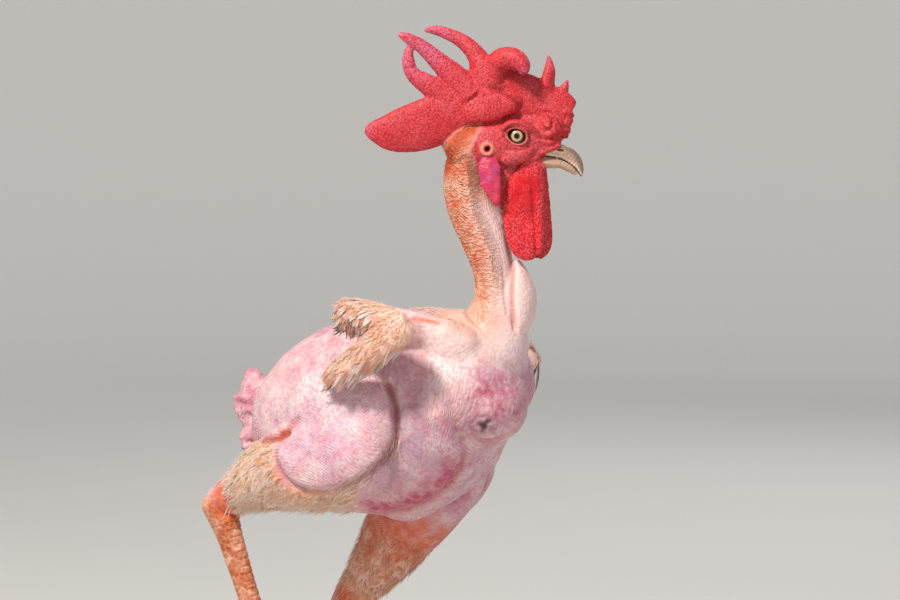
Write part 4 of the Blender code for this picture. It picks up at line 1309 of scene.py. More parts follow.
def pebbleGroup():  # close rounded grains, with the lines between them
    group, given, result = newGroup(
        "pebbles",
        [("Vector", "Vector", None), ("Scale", "Float", 500.0)],
        [("Height", "Float"), ("Crevice", "Float")],
    )
    wobble = noiseNode(group, given["Vector"], 260.0, 2.0, "Color")
    moved = addNode(group, "VectorMath", {0: wobble, 1: (0.0009, 0.0009, 0.0009), 2: given["Vector"]},
                    operation="MULTIPLY_ADD")
    cells = addNode(group, "TexVoronoi", {"Vector": moved.outputs[0], "Scale": given["Scale"]})
    height = spanNode(group, cells.outputs["Distance"], 0.1, 0.75, 1.0, 0.0)
    group.links.new(height, result["Height"])
    group.links.new(power(group, rest(group, height), 2.0), result["Crevice"])
    return group


def creaseGroup():  # fine broken creases across a phase that is given in millimetres
    group, given, result = newGroup(
        "fineCreases",
        [("Vector", "Vector", None), ("Phase", "Float", 0.0), ("Spacing", "Float", 1.5),
         ("Wander", "Float", 2.0), ("Drift", "Float", 90.0)],
        [("Height", "Float")],
    )
    drift = noiseNode(group, given["Vector"], given["Drift"], 3.0)
    moved = scaled(group, drift, given["Wander"], given["Phase"])
    turns = mathNode(group, "DIVIDE", moved, given["Spacing"])
    wave = mathNode(group, "SINE", mathNode(group, "MULTIPLY", turns, 2 * math.pi))
    sharp = power(group, scaled(group, wave, 0.5, 0.5), 0.6)
    gaps = spanNode(group, noiseNode(group, given["Vector"], 160.0, 2.0), 0.35, 0.65, 0.15, 1.0)
    group.links.new(times(group, sharp, gaps), result["Height"])
    return group


def tuftGroup():  # a feather's colour from its root to its tip, a little different in each
    group, given, result = newGroup(
        "featherColour",
        [("Root", "Color", tone("d9682e")), ("Tip", "Color", tone("f3dcc0")),
         ("Other", "Color", tone("e0904f")), ("Along", "Float", 0.0), ("Shade", "Float", 0.5)],
        [("Color", "Color")],
    )
    tip = mixNode(group, power(group, given["Shade"], 2.5), given["Tip"], given["Other"])
    share = spanNode(group, scaled(group, given["Shade"], 0.4, given["Along"]), 0.1, 0.8)
    group.links.new(mixNode(group, share, given["Root"], tip), result["Color"])
    return group


groups = {"mottle": mottleGroup(), "pebbles": pebbleGroup(), "creases": creaseGroup(), "tuft": tuftGroup()}


def placeGroup(tree, kind, **values):
    return addNode(tree, "Group", values, node_tree=groups[kind]).outputs


def mottle(tree, place, scale, low, high):
    return placeGroup(tree, "mottle", Vector=place, Scale=scale, Low=low, High=high)["Mask"]


def pebbles(tree, place, scale):
    return placeGroup(tree, "pebbles", Vector=place, Scale=scale)


def newMaterial(name, codes):
    made = bpy.data.materials.new(name)
    made.use_nodes = True
    tree = made.node_tree
    place = addNode(tree, "TexCoord").outputs["Object"]
    return made, tree, tree.nodes["Principled BSDF"], place, toneSet(codes)


def setShader(shader, **values):
    for label, value in values.items():
        shader.inputs[label.replace("_", " ")].default_value = value


def addBump(tree, shader, layers):  # layers of (height, strength, distance in metres)
    normal = None
    for heightSocket, strength, distance in layers:
        inputs = {"Height": heightSocket, "Strength": strength, "Distance": distance}
        if normal:
            inputs["Normal"] = normal
        normal = addNode(tree, "Bump", inputs).outputs["Normal"]
    tree.links.new(normal, shader.inputs["Normal"])


skinTones = {
    "pink": "d8b0b4", "lilac": "ccb2c4", "cream": "f2e6e0", "rose": "c0566e", "deepRose": "a83a58",
    "peach": "ecb89e", "palePink": "ecccc8", "rust": "a83a1a", "orange": "d05018", "apricot": "e28c5c",
    "red": "c81420", "deepRed": "7c0810", "grainPink": "e66a72", "mauve": "b8708e", "gold": "f0c4a0",
    "shank": "b25a24", "net": "e2b49a", "heel": "e8bcae", "hock": "d8560c", "rim": "eaa088",
    "dark": "2a0c0a",
}


def skinMaterial():
    made, tree, shader, place, t = newMaterial("bare_skin", skinTones)
    m = {name: maskNode(tree, name) for name in masks}
    fine = mottle(tree, place, 260.0, 0.42, 0.6)
    mid = mottle(tree, place, 75.0, 0.4, 0.62)
    large = mottle(tree, place, 28.0, 0.42, 0.6)
    patches = mottle(tree, place, 110.0, 0.44, 0.6)
    pits, net, grains = [pebbles(tree, place, scale) for scale in (420.0, 340.0, 760.0)]

    def creased(**shape):
        return placeGroup(tree, "creases", Vector=place, Phase=m["grainPhase"], **shape)["Height"]

    # the body: pink, lilac and cream, with pores that hold more red; rose in the fine crevices and crease
    # troughs is painted shade, and part of the cream is a painted highlight
    pores = addNode(tree, "TexVoronoi", {"Vector": place, "Scale": 170.0}).outputs["Distance"]
    pores = mathNode(tree, "MULTIPLY", mathNode(tree, "SUBTRACT", 0.16, pores), 9.0, clamp=True)
    crease = creased(Spacing=1.9, Wander=5.0)
    low = times(tree, power(tree, rest(tree, crease), 3.0), m["grainAmount"])
    blush = mathNode(tree, "MULTIPLY", scaled(tree, fine, 0.4, 0.75), m["roseSkin"], clamp=True)
    colour = layered(tree, t["pink"], [
        (m["lilacSkin"], t["lilac"]),
        (times(tree, mid, 0.5), t["cream"]),
        # painted highlight: cream over the most lit parts of the body
        (times(tree, m["paintedHighlightSkin"], scaled(tree, fine, 0.3, 0.55)), t["cream"]),
        (times(tree, large, fine, 0.2), t["rose"]),
        (times(tree, power(tree, pits["Crevice"], 2.0), 0.35), t["rose"]),
        (times(tree, pores, mid, 0.35), t["rose"]),
        (times(tree, low, 0.42), t["rose"]),
        (blush, mixNode(tree, times(tree, fine, 0.5), t["rose"], t["deepRose"])),
    ])
    # the neck: peach with rust-coloured cracks behind, partly the skin's own colour and partly painted shade,
    # with orange in the crease troughs as painted shade; pale pink in front
    crack = power(tree, rest(tree, creased(Spacing=2.3, Wander=5.5, Drift=210.0)), 1.6)
    crack = times(tree, crack, scaled(tree, m["crackle"], 0.7, 0.45), rest(tree, m["paleSkin"]))
    neckTone = layered(tree, t["peach"], [
        (times(tree, mid, 0.45), t["apricot"]),
        (m["paleSkin"], t["palePink"]),
        (times(tree, crack, scaled(tree, fine, 0.3, 0.7)), t["rust"]),
        (times(tree, low, 0.3), t["orange"]),
    ])
    # shanks and toes: rust-coloured scales with paler lines between them
    scales = layered(tree, t["shank"], [
        (times(tree, mid, 0.6), t["rust"]),
        (times(tree, patches, net["Height"], 0.5), t["net"]),
        (times(tree, net["Crevice"], scaled(tree, patches, 0.5, 0.35)), t["net"]),
        (times(tree, m["shankBack"], scaled(tree, fine, 0.4, 0.5)), t["net"]),
    ])
    # face and comb: close grains, paler on their tops as a painted highlight and deep red between them as
    # painted shade, mauve at the comb's tips
    onFace = scaled(tree, m["combSkin"], -0.3, 0.6)
    dots = times(tree, power(tree, grains["Height"], 3.0), scaled(tree, m["combSkin"], 0.18, 0.1))
    reds = layered(tree, t["red"], [
        (times(tree, scaled(tree, mid, 0.6, 0.35), onFace), t["grainPink"]),
        (times(tree, grains["Crevice"], 0.6), t["deepRed"]),
        (dots, t["grainPink"]),
        (times(tree, m["combTip"], 0.8), mixNode(tree, grains["Crevice"], t["mauve"], t["red"])),
        # painted shade: deep red in the sunk folds of the face and comb
        (times(tree, m["shadeAndRust"], 0.7), t["deepRed"]),
    ])
    straw = mixNode(tree, times(tree, mid, 0.4), t["gold"], t["cream"])
    ochre = mixNode(tree, times(tree, fine, 0.6), t["orange"], t["apricot"])
    colour = layered(tree, colour, [
        (m["neckSkin"], neckTone),
        (times(tree, m["downSkin"], 0.9), straw),
        (times(tree, m["orangeSkin"], 0.85), ochre),
        # rust as painted shade in the sunk folds and the dimple, and the nape's own stain
        (times(tree, m["shadeAndRust"], 0.75), t["rust"]),
        (m["shankSkin"], scales),
        (times(tree, m["heelSkin"], scaled(tree, fine, 0.25, 0.65)), t["heel"]),
        (times(tree, m["hockSkin"], scaled(tree, net["Height"], 0.2, 0.8)), t["hock"]),
        (m["redSkin"], reds),
        (times(tree, m["rimSkin"], 0.7), t["rim"]),
        # painted shade about the eyes and ears, and the scab
        (times(tree, m["shadeAndScabSkin"], 0.9), t["dark"]),
    ])
    tree.links.new(colour, shader.inputs["Base Color"])
    rough = scaled(tree, m["shadeAndRust"], 0.15, scaled(tree, fine, 0.14, 0.46))
    tree.links.new(rough, shader.inputs["Roughness"])
    addBump(tree, shader, [
        (times(tree, crease, m["grainAmount"]), 0.6, 0.0006),
        (times(tree, grains["Height"], m["redSkin"]), 0.6, 0.0003),
        (times(tree, pits["Height"], rest(tree, m["redSkin"])), 0.5, 0.0004),
        (times(tree, net["Height"], m["shankSkin"]), 0.6, 0.0004),
        (times(tree, crack, m["neckSkin"], -1.0), 0.8, 0.0008),
    ])
    setShader(shader, Subsurface_Weight=0.15, Subsurface_Scale=0.003, IOR=1.42)
    setShader(shader, Subsurface_Radius=(1.0, 0.3, 0.2))
    return made


skinPiece.data.materials.clear()
skinPiece.data.materials.append(skinMaterial())
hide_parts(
    "torso", "neck", "tail", "head", "comb",
    *[f"{name}_{side}" for name in ("leg", "shank", "foot", "wing_arm", "wing_hand") for side in sides],
)
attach(skinPiece, "root")
print("Skin finished")


# wattles and ear lobes

wattle = {
    "rows": [  # height, forward, half length, half thickness
        (97, 54.0, 5.6, 3.2),
        (88, 53.2, 8.6, 3.6),
        (79, 50.6, 11.6, 3.4),
        (70, 48.8, 13.0, 3.0),
        (58, 48.4, 13.4, 2.8),
        (46, 49.2, 12.6, 2.8),
        (37, 50.6, 10.8, 2.8),
        (31, 51.4, 7.4, 2.3),
        (28.2, 51.6, 2.6, 1.2),
    ],
    "root": 97,
    "ahead": {"right": 0.0, "left": 7.5},
    "hang": (6.4, 4.0),
    "wave": 1.1,
    "creases": ((72, 43), (60, 42), (52, 47)),  # height, and where each starts
    "tones": {"red": "d8121c", "deep": "9c0a14", "sheen": "ea6a72"},
}
lobe = {
    "rows": [  # height, forward, half length, half thickness, how far out
        (101.5, 26.8, 2.4, 0.7, 11.0),
        (96, 26.2, 5.0, 1.6, 12.8),
        (89, 25.8, 7.2, 2.7, 14.2),
        (80, 27.2, 6.8, 3.1, 14.8),
        (73, 28.9, 4.7, 2.8, 15.0),
        (67, 30.2, 2.4, 1.9, 15.0),
        (64.5, 30.6, 0.8, 0.8, 15.0),
    ],
    "ridges": (1.7, 0.3),
    "tones": {"magenta": "cc2c44", "purple": "a83870", "pale": "ee8494"},
}


def wattlePiece(side):
    rows = []
    for height, forward, half, thick in wattle["rows"]:
        drop = (wattle["root"] - height) / 70
        out = sides[side] * (wattle["hang"][0] + wattle["hang"][1] * drop)
        rows.append((forward + wattle["ahead"][side] * drop**0.6, out, height, thick, half, half))
    piece = newObject("wattle_skin_" + side, *loftShape(rows, 96, 14, (1, 0, 0), 2.2, headPoint))
    points = readPoints(piece.data)
    normals = readNormals(piece.data)
    f, _, h = inHead(points).T
    below = wattle["root"] - h
    swing = wattle["wave"] * np.sin(f / 8 + 0.05 * h + sides[side]) * ease(below, 4, 30)
    fold = f - 55.5 + 0.07 * (h - 60)  # one long fold near the front edge, and faint creases across
    relief = -1.5 * bump(fold, 1.3) + 0.5 * bump(fold - 2.6, 1.8)
    relief += -0.3 * bump(f - 46 - 0.12 * (h - 70), 1) * ease(h, 58, 70)
    for level, start in wattle["creases"]:
        relief += -0.35 * bump(h - level - 0.1 * (f - 48), 0.8) * ease(f, start, start + 5)
    points += headAcross * swing[:, None]
    points += normals * (relief * ease(below, 8, 20) + 0.35 * noiseField(points, 7, 21))[:, None]
    writePoints(piece.data, points)
    heights, middles = np.array(wattle["rows"])[::-1, :2].T
    rim = ease(np.abs(f - np.interp(h, heights, middles)), 6, 13)
    # the sheen is a painted highlight on the grains: low on the wattle, along its edges and at its top, and
    # in random patches
    sheen = 0.25 + 0.5 * noiseField(points, 6, 35) + ease(64 - h, 0, 22) + 0.8 * rim + ease(h - 80, 0, 8)
    writeMask(piece.data, "sheen", np.clip(sheen, 0, 1))
    return piece


def wattleMaterial():
    made, tree, shader, place, t = newMaterial("wattle_skin", wattle["tones"])
    cloud = mottle(tree, place, 70.0, 0.4, 0.65)
    grains = pebbles(tree, place, 760.0)
    dots = times(tree, power(tree, grains["Height"], 1.5), maskNode(tree, "sheen"), 0.8)
    # painted highlight in the sheen's grains, painted shade in deep red between the grains, and a random deep
    # red cloud
    colour = layered(tree, t["red"], [
        (times(tree, cloud, 0.5), t["deep"]),
        (dots, t["sheen"]),
        (times(tree, grains["Crevice"], 0.45), t["deep"]),
    ])
    tree.links.new(colour, shader.inputs["Base Color"])
    tree.links.new(scaled(tree, cloud, 0.12, 0.3), shader.inputs["Roughness"])
    addBump(tree, shader, [(grains["Height"], 0.5, 0.0003)])
    setShader(shader, Subsurface_Weight=0.2, Subsurface_Scale=0.003, IOR=1.42)
    setShader(shader, Subsurface_Radius=(1.0, 0.25, 0.2))
    return made


def lobePiece(side):
    rows = [(forward, sides[side] * out, height, thick, half, half)
            for height, forward, half, thick, out in lobe["rows"]]
    piece = newObject("lobe_skin_" + side, *loftShape(rows, 72, 14, (1, 0, 0), 2.2, headPoint))
    points = readPoints(piece.data)
    normals = readNormals(piece.data)
    f, _, h = inHead(points).T
    spacing, tall = lobe["ridges"]
    wander = 3.2 * noiseField(points, 7, 31) + 1.0 * noiseField(points, 2.6, 34)
    wave = np.sin((h * 0.95 + f * 0.3 + wander) * 2 * math.pi / spacing)
    strong = np.clip(0.55 + 1.2 * noiseField(points, 4, 32), 0.1, 1)
    height = tall * wave * strong + 0.7 * noiseField(points, 5, 33)
    writePoints(piece.data, points + normals * height[:, None])
    # painted highlight: the ridges' tops are marked to be painted paler
    writeMask(piece.data, "ridgeHighlight", (0.5 + 0.5 * wave) * strong)
    writeMask(piece.data, "upper", ease(h, 70, 90))
    return piece


def lobeMaterial():
    made, tree, shader, place, t = newMaterial("lobe_skin", lobe["tones"])
    cloud = mottle(tree, place, 160.0, 0.4, 0.62)
    colour = layered(tree, t["magenta"], [
        (times(tree, cloud, scaled(tree, maskNode(tree, "upper"), 0.7, 0.25)), t["purple"]),
        # painted highlight: pale on the ridges' tops
        (times(tree, power(tree, maskNode(tree, "ridgeHighlight"), 2.0), 0.5), t["pale"]),
    ])
    tree.links.new(colour, shader.inputs["Base Color"])
    tree.links.new(scaled(tree, cloud, 0.1, 0.36), shader.inputs["Roughness"])
    addBump(tree, shader, [(pebbles(tree, place, 800.0)["Height"], 0.3, 0.0002)])
    setShader(shader, Subsurface_Weight=0.2, Subsurface_Scale=0.003, IOR=1.42)
    return made


materials = {"wattle": wattleMaterial(), "lobe": lobeMaterial()}
for side in sides:
    for kind, maker, node, slot in (
        ("wattle", wattlePiece, "wattle_", "red_skin"),
        ("lobe", lobePiece, "ear_lobe_", "lobe_skin"),
    ):
        piece = maker(side)
        piece.data.materials.append(materials[kind])
        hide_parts(node + side)
        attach(piece, "root")
print("Wattles and ear lobes made")


# eyes

iris = {  # rings about the pupil, as their reach and tone
    "rings": [
        (1.5, "pupil"), (1.8, "inner"), (2.45, "cream"), (3.1, "cream"), (3.7, "outer"), (4.1, "ring"),
        (5.0, "ring"), (5.5, "rim"),
    ],
    "span": 8.0,
    "ragged": 0.5,
    "tones": {"pupil": "030202", "inner": "6a4826", "cream": "bfa074", "outer": "7a5632",
              "ring": "240e08", "rim": "5a2018"},
}


def eyePiece(side):
    x, y, z = eyeBall["spot"]
    ball = ballShape((x, y * sides[side], z), eyeBall["radii"], 0, headPoint, 6)
    piece = newObject("eyeball_" + side, *ball)
    f, _, h = inHead(readPoints(piece.data)).T
    writeMask(piece.data, "fromPupil", np.hypot(f - head["gaze"][0], h - head["gaze"][1]))
    return piece


def eyeMaterial():
    made, tree, shader, place, t = newMaterial("eye_gloss", iris["tones"])
    streaks = mathNode(tree, "SUBTRACT", noiseNode(tree, place, 900.0, 3.0), 0.5)
    away = scaled(tree, streaks, iris["ragged"], maskNode(tree, "fromPupil"))
    ramp = addNode(tree, "ValToRGB", {"Fac": mathNode(tree, "DIVIDE", away, iris["span"])})
    stops = ramp.color_ramp.elements
    stops.remove(stops[1])
    stops[0].position = iris["rings"][0][0] / iris["span"]
    stops[0].color = t[iris["rings"][0][1]]
    for reach, name in iris["rings"][1:]:
        stops.new(reach / iris["span"]).color = t[name]
    tree.links.new(ramp.outputs["Color"], shader.inputs["Base Color"])
    setShader(shader, Roughness=0.3, Coat_Weight=0.5, Coat_Roughness=0.03, IOR=1.33)
    return made


eyeFinish = eyeMaterial()
for side in sides:
    piece = eyePiece(side)
    piece.data.materials.append(eyeFinish)
    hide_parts("eye_" + side)
    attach(piece, "root")
print("Eyes made")


# bill, claws and spurs

bill = {
    "upper": [
        (57, 0, 100.4, 7.4, 4.2, 3.6),
        (66, 0, 100.0, 7.0, 4.6, 4.0),
        (73.2, 0, 99.7, 6.3, 4.8, 4.9),
        (79, 0, 97.5, 5.2, 4.8, 5.4),
        (83.0, 0, 93.7, 4.0, 4.0, 5.0),
        (85.3, 0, 89.8, 2.9, 3.0, 4.2),
        (86.6, 0, 86.1, 1.8, 1.7, 2.4),
        (86.9, 0, 83.2, 0.7, 0.6, 0.6),
    ],
    "lower": [
        (56, 0, 92.4, 6.6, 4.0, 3.2),
        (62, 0, 92.2, 6.2, 4.2, 3.6),
        (68, 0, 91.7, 5.5, 4.1, 3.4),
        (73, 0, 91.0, 4.6, 3.4, 2.6),
        (78, 0, 88.8, 3.4, 2.8, 2.5),
        (81.5, 0, 86.7, 2.1, 2.2, 2.0),
        (84.0, 0, 84.9, 0.9, 1.2, 1.1),
    ],
    "tomium": [(57, 96.8), (66.4, 96.3), (73.2, 95.0), (78.5, 92.2), (83.3, 88.6), (87.0, 82.9)],
    "nostril": ((73.0, 100.6), (2.8, 0.9), -8.0, 1.6),
    "streak": (140.0, 900.0, 900.0),
    "tones": {"dark": "2c1e1a", "mid": "70544a", "ivory": "c09880", "edge": "ecd4bc"},
}


def billPiece(name):
    upper = name == "upper"
    piece = newObject("bill_horn_" + name, *loftShape(bill[name], 64, 12, power=1.8, place=headPoint))
    points = readPoints(piece.data)
    normals = readNormals(piece.data)
    f, s, h = inHead(points).T
    rough = 0.22 * noiseField(points, 3.0, 71) * (1 - ease(f, 66, 76)) + 0.1 * noiseField(points, 1.6, 72)
    rough += 0.10 * np.sin((f * 0.8 - h * 0.6) * 2 * math.pi / 2.2) * ease(f, 64, 72)
    points += normals * rough[:, None]
    rows = smoothRows(bill[name], 8)
    rows = rows[rows[:, 0].argsort()]
    middle = np.interp(f, rows[:, 0], rows[:, 2])
    edge = (h - np.interp(f, *zip(*bill["tomium"]))) * (1 if upper else -1)
    dip = np.zeros(len(points))
    if upper:
        (x, z), (long, tall), tilt, depth = bill["nostril"]
        c, sn = math.cos(math.radians(tilt)), math.sin(math.radians(tilt))
        a, b = (f - x) * c + (h - z) * sn, (h - z) * c - (f - x) * sn
        dip = (1 - ease(np.hypot(a / long, b / tall), 0.6, 1.15)) * np.sign(s)
        points -= headAcross * depth * dip[:, None]
    writePoints(piece.data, points)
    writeMask(piece.data, "onTop", ease(h - middle, -3.5, 3.0) * (1 if upper else 0.5))
    writeMask(piece.data, "nearEdge", bump(edge - (1.5 if upper else 0.6), 0.8))
    # painted shade: a dark line along the upper bill's lower edge, where the mandibles part
    writeMask(piece.data, "gapeShade", 1 - ease(edge, 0.1, 0.8) if upper else 0 * edge)
    writeMask(piece.data, "nostril", np.abs(dip))
    return piece


def hornMaterial(name, tones, streak):
    made, tree, shader, place, t = newMaterial(name, tones)
    turned = addNode(tree, "Mapping", {
        "Vector": place, "Rotation": (0, 0, headFrame["turn"]), "Scale": streak,
    })
    streaks = noiseNode(tree, turned.outputs["Vector"], 1.0, 4.0)
    cloud = mottle(tree, place, 180.0, 0.4, 0.6)
    lined = spanNode(tree, streaks, 0.35, 0.65)
    top = mathNode(tree, "MULTIPLY", maskNode(tree, "onTop"), scaled(tree, lined, 0.7, 0.45), clamp=True)
    colour = layered(tree, t["ivory"], [
        (top, mixNode(tree, cloud, t["mid"], t["dark"])),
        (times(tree, lined, 0.25), t["edge"]),
        (times(tree, maskNode(tree, "nearEdge"), 0.75), t["edge"]),
        # painted shade along the gape
        (times(tree, maskNode(tree, "gapeShade"), 0.9), t["dark"]),
        (times(tree, maskNode(tree, "nostril"), 0.9), t["dark"]),
    ])
    tree.links.new(colour, shader.inputs["Base Color"])
    tree.links.new(scaled(tree, cloud, 0.14, 0.26), shader.inputs["Roughness"])
    addBump(tree, shader, [(streaks, 0.3, 0.0003)])
    setShader(shader, Subsurface_Weight=0.06, Subsurface_Scale=0.002, IOR=1.5)
    return made


claws = {
    "steps": 5,
    "curl": 46,
    "streak": (400.0, 400.0, 400.0),
    "tones": {"dark": "4c3426", "mid": "8b6a50", "ivory": "d9b894", "edge": "e7d2b4"},
}
spurs = {"share": 0.68, "radii": (4.4, 4.2, 3.1, 1.9, 0.8), "start": 3.0, "step": 3.4}


def clawPiece(side, name):
    _, _, length, root = toes[name]
    level = toeHeading(side, name)
    point = Vector(toeRows(side, name)[-1][:3]) + Vector((0, 0, 0.8))
    start = pushing[name][1] - 14 if side == "right" else -12
    rows = []
    for k in range(claws["steps"] + 1):
        share = k / claws["steps"]
        rows.append((*point, root * (0.5 - 0.42 * share)))
        drop = math.radians(start + claws["curl"] * share)
        way = level * math.cos(drop) - Vector((0, 0, math.sin(drop)))
        point = point + way * ((length + clawSink) / claws["steps"])
    up = level if side == "right" else (0, 0, 1)
    piece = newObject(f"claw_horn_{side}_{name}", *limbShape(rows, 24, 5, up=up))
    points = readPoints(piece.data)
    points[:, 2] = np.maximum(points[:, 2], leg["floor"] + 0.02)
    writePoints(piece.data, points)
    away = np.linalg.norm(points - np.array(rows[0][:3]), axis=1) / length
    writeMask(piece.data, "onTop", 1 - 0.8 * ease(away, 0.3, 1))
    return piece


def spurPiece(side):
    start = leg["hock"][side] + shankWay(side) * leg["shankLength"] * spurs["share"]
    way = Vector((-0.72 * math.cos(leg["lean"][side]), -0.62 * sides[side], -0.1)).normalized()
    rows = []
    for k, radius in enumerate(spurs["radii"]):
        centre = start + way * (spurs["start"] + spurs["step"] * k) + Vector((0, 0, 0.25 * k * k))
        rows.append((*centre, radius))
    piece = newObject("spur_horn_" + side, *limbShape(rows, 28, 6))
    writeMask(piece.data, "onTop", 0.5 * np.ones(len(piece.data.vertices)))
    return piece


hornPieces = [(billPiece(name), "bill_" + name) for name in ("upper", "lower")]
for side in sides:
    hornPieces.append((spurPiece(side), "spur_" + side))
    hornPieces += [(clawPiece(side, name), f"claw_{side}_{name}") for name in toes]
billHorn = hornMaterial("bill_horn", bill["tones"], bill["streak"])
clawHorn = hornMaterial("claw_horn", claws["tones"], claws["streak"])
for piece, node in hornPieces:
    piece.data.materials.append(billHorn if node.startswith("bill") else clawHorn)
    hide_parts(node)
    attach(piece, "root")
print("Bill, claws and spurs made")


# stub feathers, down and hairs, as solid tufts rooted in the skin

rng = np.random.default_rng(41)
downStyle = {
    "around": 3, "rings": 4, "sink": 0.12, "flat": 0.4,
    "girth": ((-0.2, 0.3, 0.7, 1), (1, 0.9, 0.5, 0.1)),
}
vaneStyle = {
    "around": 4, "rings": 6, "sink": 0.2, "flat": 0.14,
    "girth": ((-0.2, 0.05, 0.35, 0.7, 1), (0.3, 0.55, 1, 0.85, 0.2)),
}
bakePatch = {"wide": 0.0014, "tall": 0.0028, "middle": 0.4, "tip": 0.0017}


def unit(vectors):
    return vectors / np.maximum(np.linalg.norm(vectors, axis=-1, keepdims=True), 1e-9)


def farFrom(places, mark):
    return np.linalg.norm(places - np.array(mark), axis=1)


def unwrapRound(places, start, end):  # a turned unwrap about the line from start to end
    start, end = np.array(start), np.array(end)
    axis = (end - start) / np.linalg.norm(end - start)
    first = unit(np.cross(axis, (0.31, 0.2, 0.93)))
    second = np.cross(axis, first)
    off = places - start
    turn = np.arctan2(off @ second, off @ first) / (2 * math.pi) + 0.5
    along = off @ axis / np.linalg.norm(end - start)
    return np.stack([0.05 + 0.9 * turn, 0.15 + 0.6 * along], axis=1)


def tuftPiece(name, chosen, roots, ways, lengths, widths, bend, line, style, outward=None):
    # each tuft is a closed tapered form; its patch on the bake map sits at its root's place
    count, around, rings = len(roots), style["around"], style["rings"]
    unwrap = unwrapRound(roots, *line)
    way = unit(ways)
    across = unit(np.cross(normals[chosen] if outward is None else outward, way))
    shades = np.clip(0.5 + 1.3 * noiseField(roots, 5, 58) + rng.normal(0, 0.18, count), 0, 1)
    face = np.cross(way, across)
    blocks, uvBlocks, alongBlocks = [], [], []
    for share in np.linspace(-style["sink"], 1, rings)[:-1]:
        grow = max(share, 0)
        girth = np.interp(share, *style["girth"])
        centre = roots + way * (lengths * share)[:, None] - face * (bend * lengths * grow * grow)[:, None]
        for k in range(around):
            turn = 2 * math.pi * k / around
            c, s = math.cos(turn) * girth, math.sin(turn) * girth * style["flat"]
            blocks.append(centre + across * (widths * c)[:, None] + face * (widths * s)[:, None])
            offset = (bakePatch["wide"] * math.cos(turn), bakePatch["tall"] * (share - bakePatch["middle"]))
            uvBlocks.append(unwrap + np.array(offset))
            alongBlocks.append(np.full(count, grow))
    blocks.append(roots + way * lengths[:, None] - face * (bend * lengths)[:, None])
    uvBlocks.append(unwrap + np.array((0, bakePatch["tip"])))
    alongBlocks.append(np.ones(count))
    corners = np.stack(blocks, axis=1)
    per = corners.shape[1]
    # shaded mostly as the skin beneath, so that the coat reads as soft
    middle = roots[:, None] + way[:, None] * ((corners - roots[:, None]) * way[:, None]).sum(2)[:, :, None]
    shading = unit(normals[chosen][:, None] + 0.5 * unit(corners - middle)).reshape(-1, 3)
    single = []
    for r in range(rings - 2):
        for k in range(around):
            j = (k + 1) % around
            a, b = r * around, (r + 1) * around
            single += [(a + k, a + j, b + j), (a + k, b + j, b + k)]
    last = (rings - 2) * around
    single += [(last + k, last + (k + 1) % around, per - 1) for k in range(around)]
    single += [(0, k + 1, k) for k in range(1, around - 1)]
    faces = (np.array(single)[None] + (np.arange(count) * per)[:, None, None]).reshape(-1, 3)
    mesh = bpy.data.meshes.new(name)
    mesh.from_pydata(((corners.reshape(-1, 3) + np.array(shift)) * mm).tolist(), [], faces.tolist())
    writeMask(mesh, "tuftAlong", np.stack(alongBlocks, axis=1).ravel())
    writeMask(mesh, "tuftShade", np.repeat(shades, per))
    writeMask(mesh, "tuftWarm", np.repeat(masks["orangeSkin"][chosen], per))
    layer = mesh.uv_layers.new(name="OFBake")
    uv = np.clip(np.stack(uvBlocks, axis=1).reshape(-1, 2), 0.001, 0.999)
    layer.data.foreach_set("uv", uv[faces.ravel()].astype(np.float32).ravel())
    mesh.shade_smooth()
    mesh.normals_split_custom_set_from_vertices(shading.tolist())
    obj = bpy.data.objects.new(name, mesh)
    bpy.context.scene.collection.objects.link(obj)
    return obj


def pickRoots(weight, count):
    chosen = rng.choice(len(points), count, p=weight / weight.sum())
    return chosen, points[chosen] + rng.normal(0, 0.35, (count, 3))


def lieAlong(way, normal, lift, loose):  # the way a tuft lies: along the skin, lifted a little
    way = unit(way + rng.normal(0, loose, way.shape))
    flat = unit(way - normal * (way * normal).sum(1)[:, None])
    return flat * np.cos(lift)[:, None] + normal * np.sin(lift)[:, None]


down = {
    "count": {"right": 3600, "left": 3000},
    "length": {"right": (6.0, 12.0), "left": (4.5, 9.0)},
    "width": 0.28,
    "tones": {
        "right": {"Root": "e0946c", "Tip": "fff8f0", "Other": "f6c08e", "Warm": "e08c48"},
        "left": {"Root": "d0662e", "Tip": "ffdeb8", "Other": "f29a54", "Warm": "c85418"},
    },
}


def downPiece(side):
    low, high = np.array(leg["knee"][side]), np.array(leg["hock"][side])
    weight = covers[side] * np.clip(0.75 + 0.9 * noiseField(points, 9, 51), 0.1, 1)
    weight[weight < 0.05] = 0
    chosen, roots = pickRoots(weight, down["count"][side])
    count = len(chosen)
    lean = noiseField(roots, 4, 52)[:, None]  # locks of hair that lean together
    swirl = noiseField(roots, 5, 56)[:, None]
    way = np.tile(unit(high - low), (count, 1))
    way = way + np.array((0, 0, -1.0)) * (0.5 + 1.5 * lean) + np.array((0.6, 0.4, 0)) * swirl
    lift = 0.16 + 0.35 * rng.random(count) + 0.35 * np.abs(swirl[:, 0])
    lengths = rng.uniform(*down["length"][side], count) * (0.75 + 0.6 * lean[:, 0])
    widths = down["width"] * rng.uniform(0.6, 1.3, count)
    ways = lieAlong(way, normals[chosen], lift, 0.14)
    name = "drumstick_down_" + side
    return tuftPiece(name, chosen, roots, ways, lengths, widths, 0.1, (low, high), downStyle)


fringe = {
    "photo": [(393, 440), (389, 451), (380, 463), (367, 474), (351, 484), (338, 489)],
    "count": 420, "length": (5.0, 9.5), "width": 0.34,
    "turn": ((60, 0, 200), (-60, 0, 200)),  # the line that its bake map turns about
    "tones": {"Root": "e89c90", "Tip": "ffeee8", "Other": "f4bcae", "Warm": "e6a070"},
}


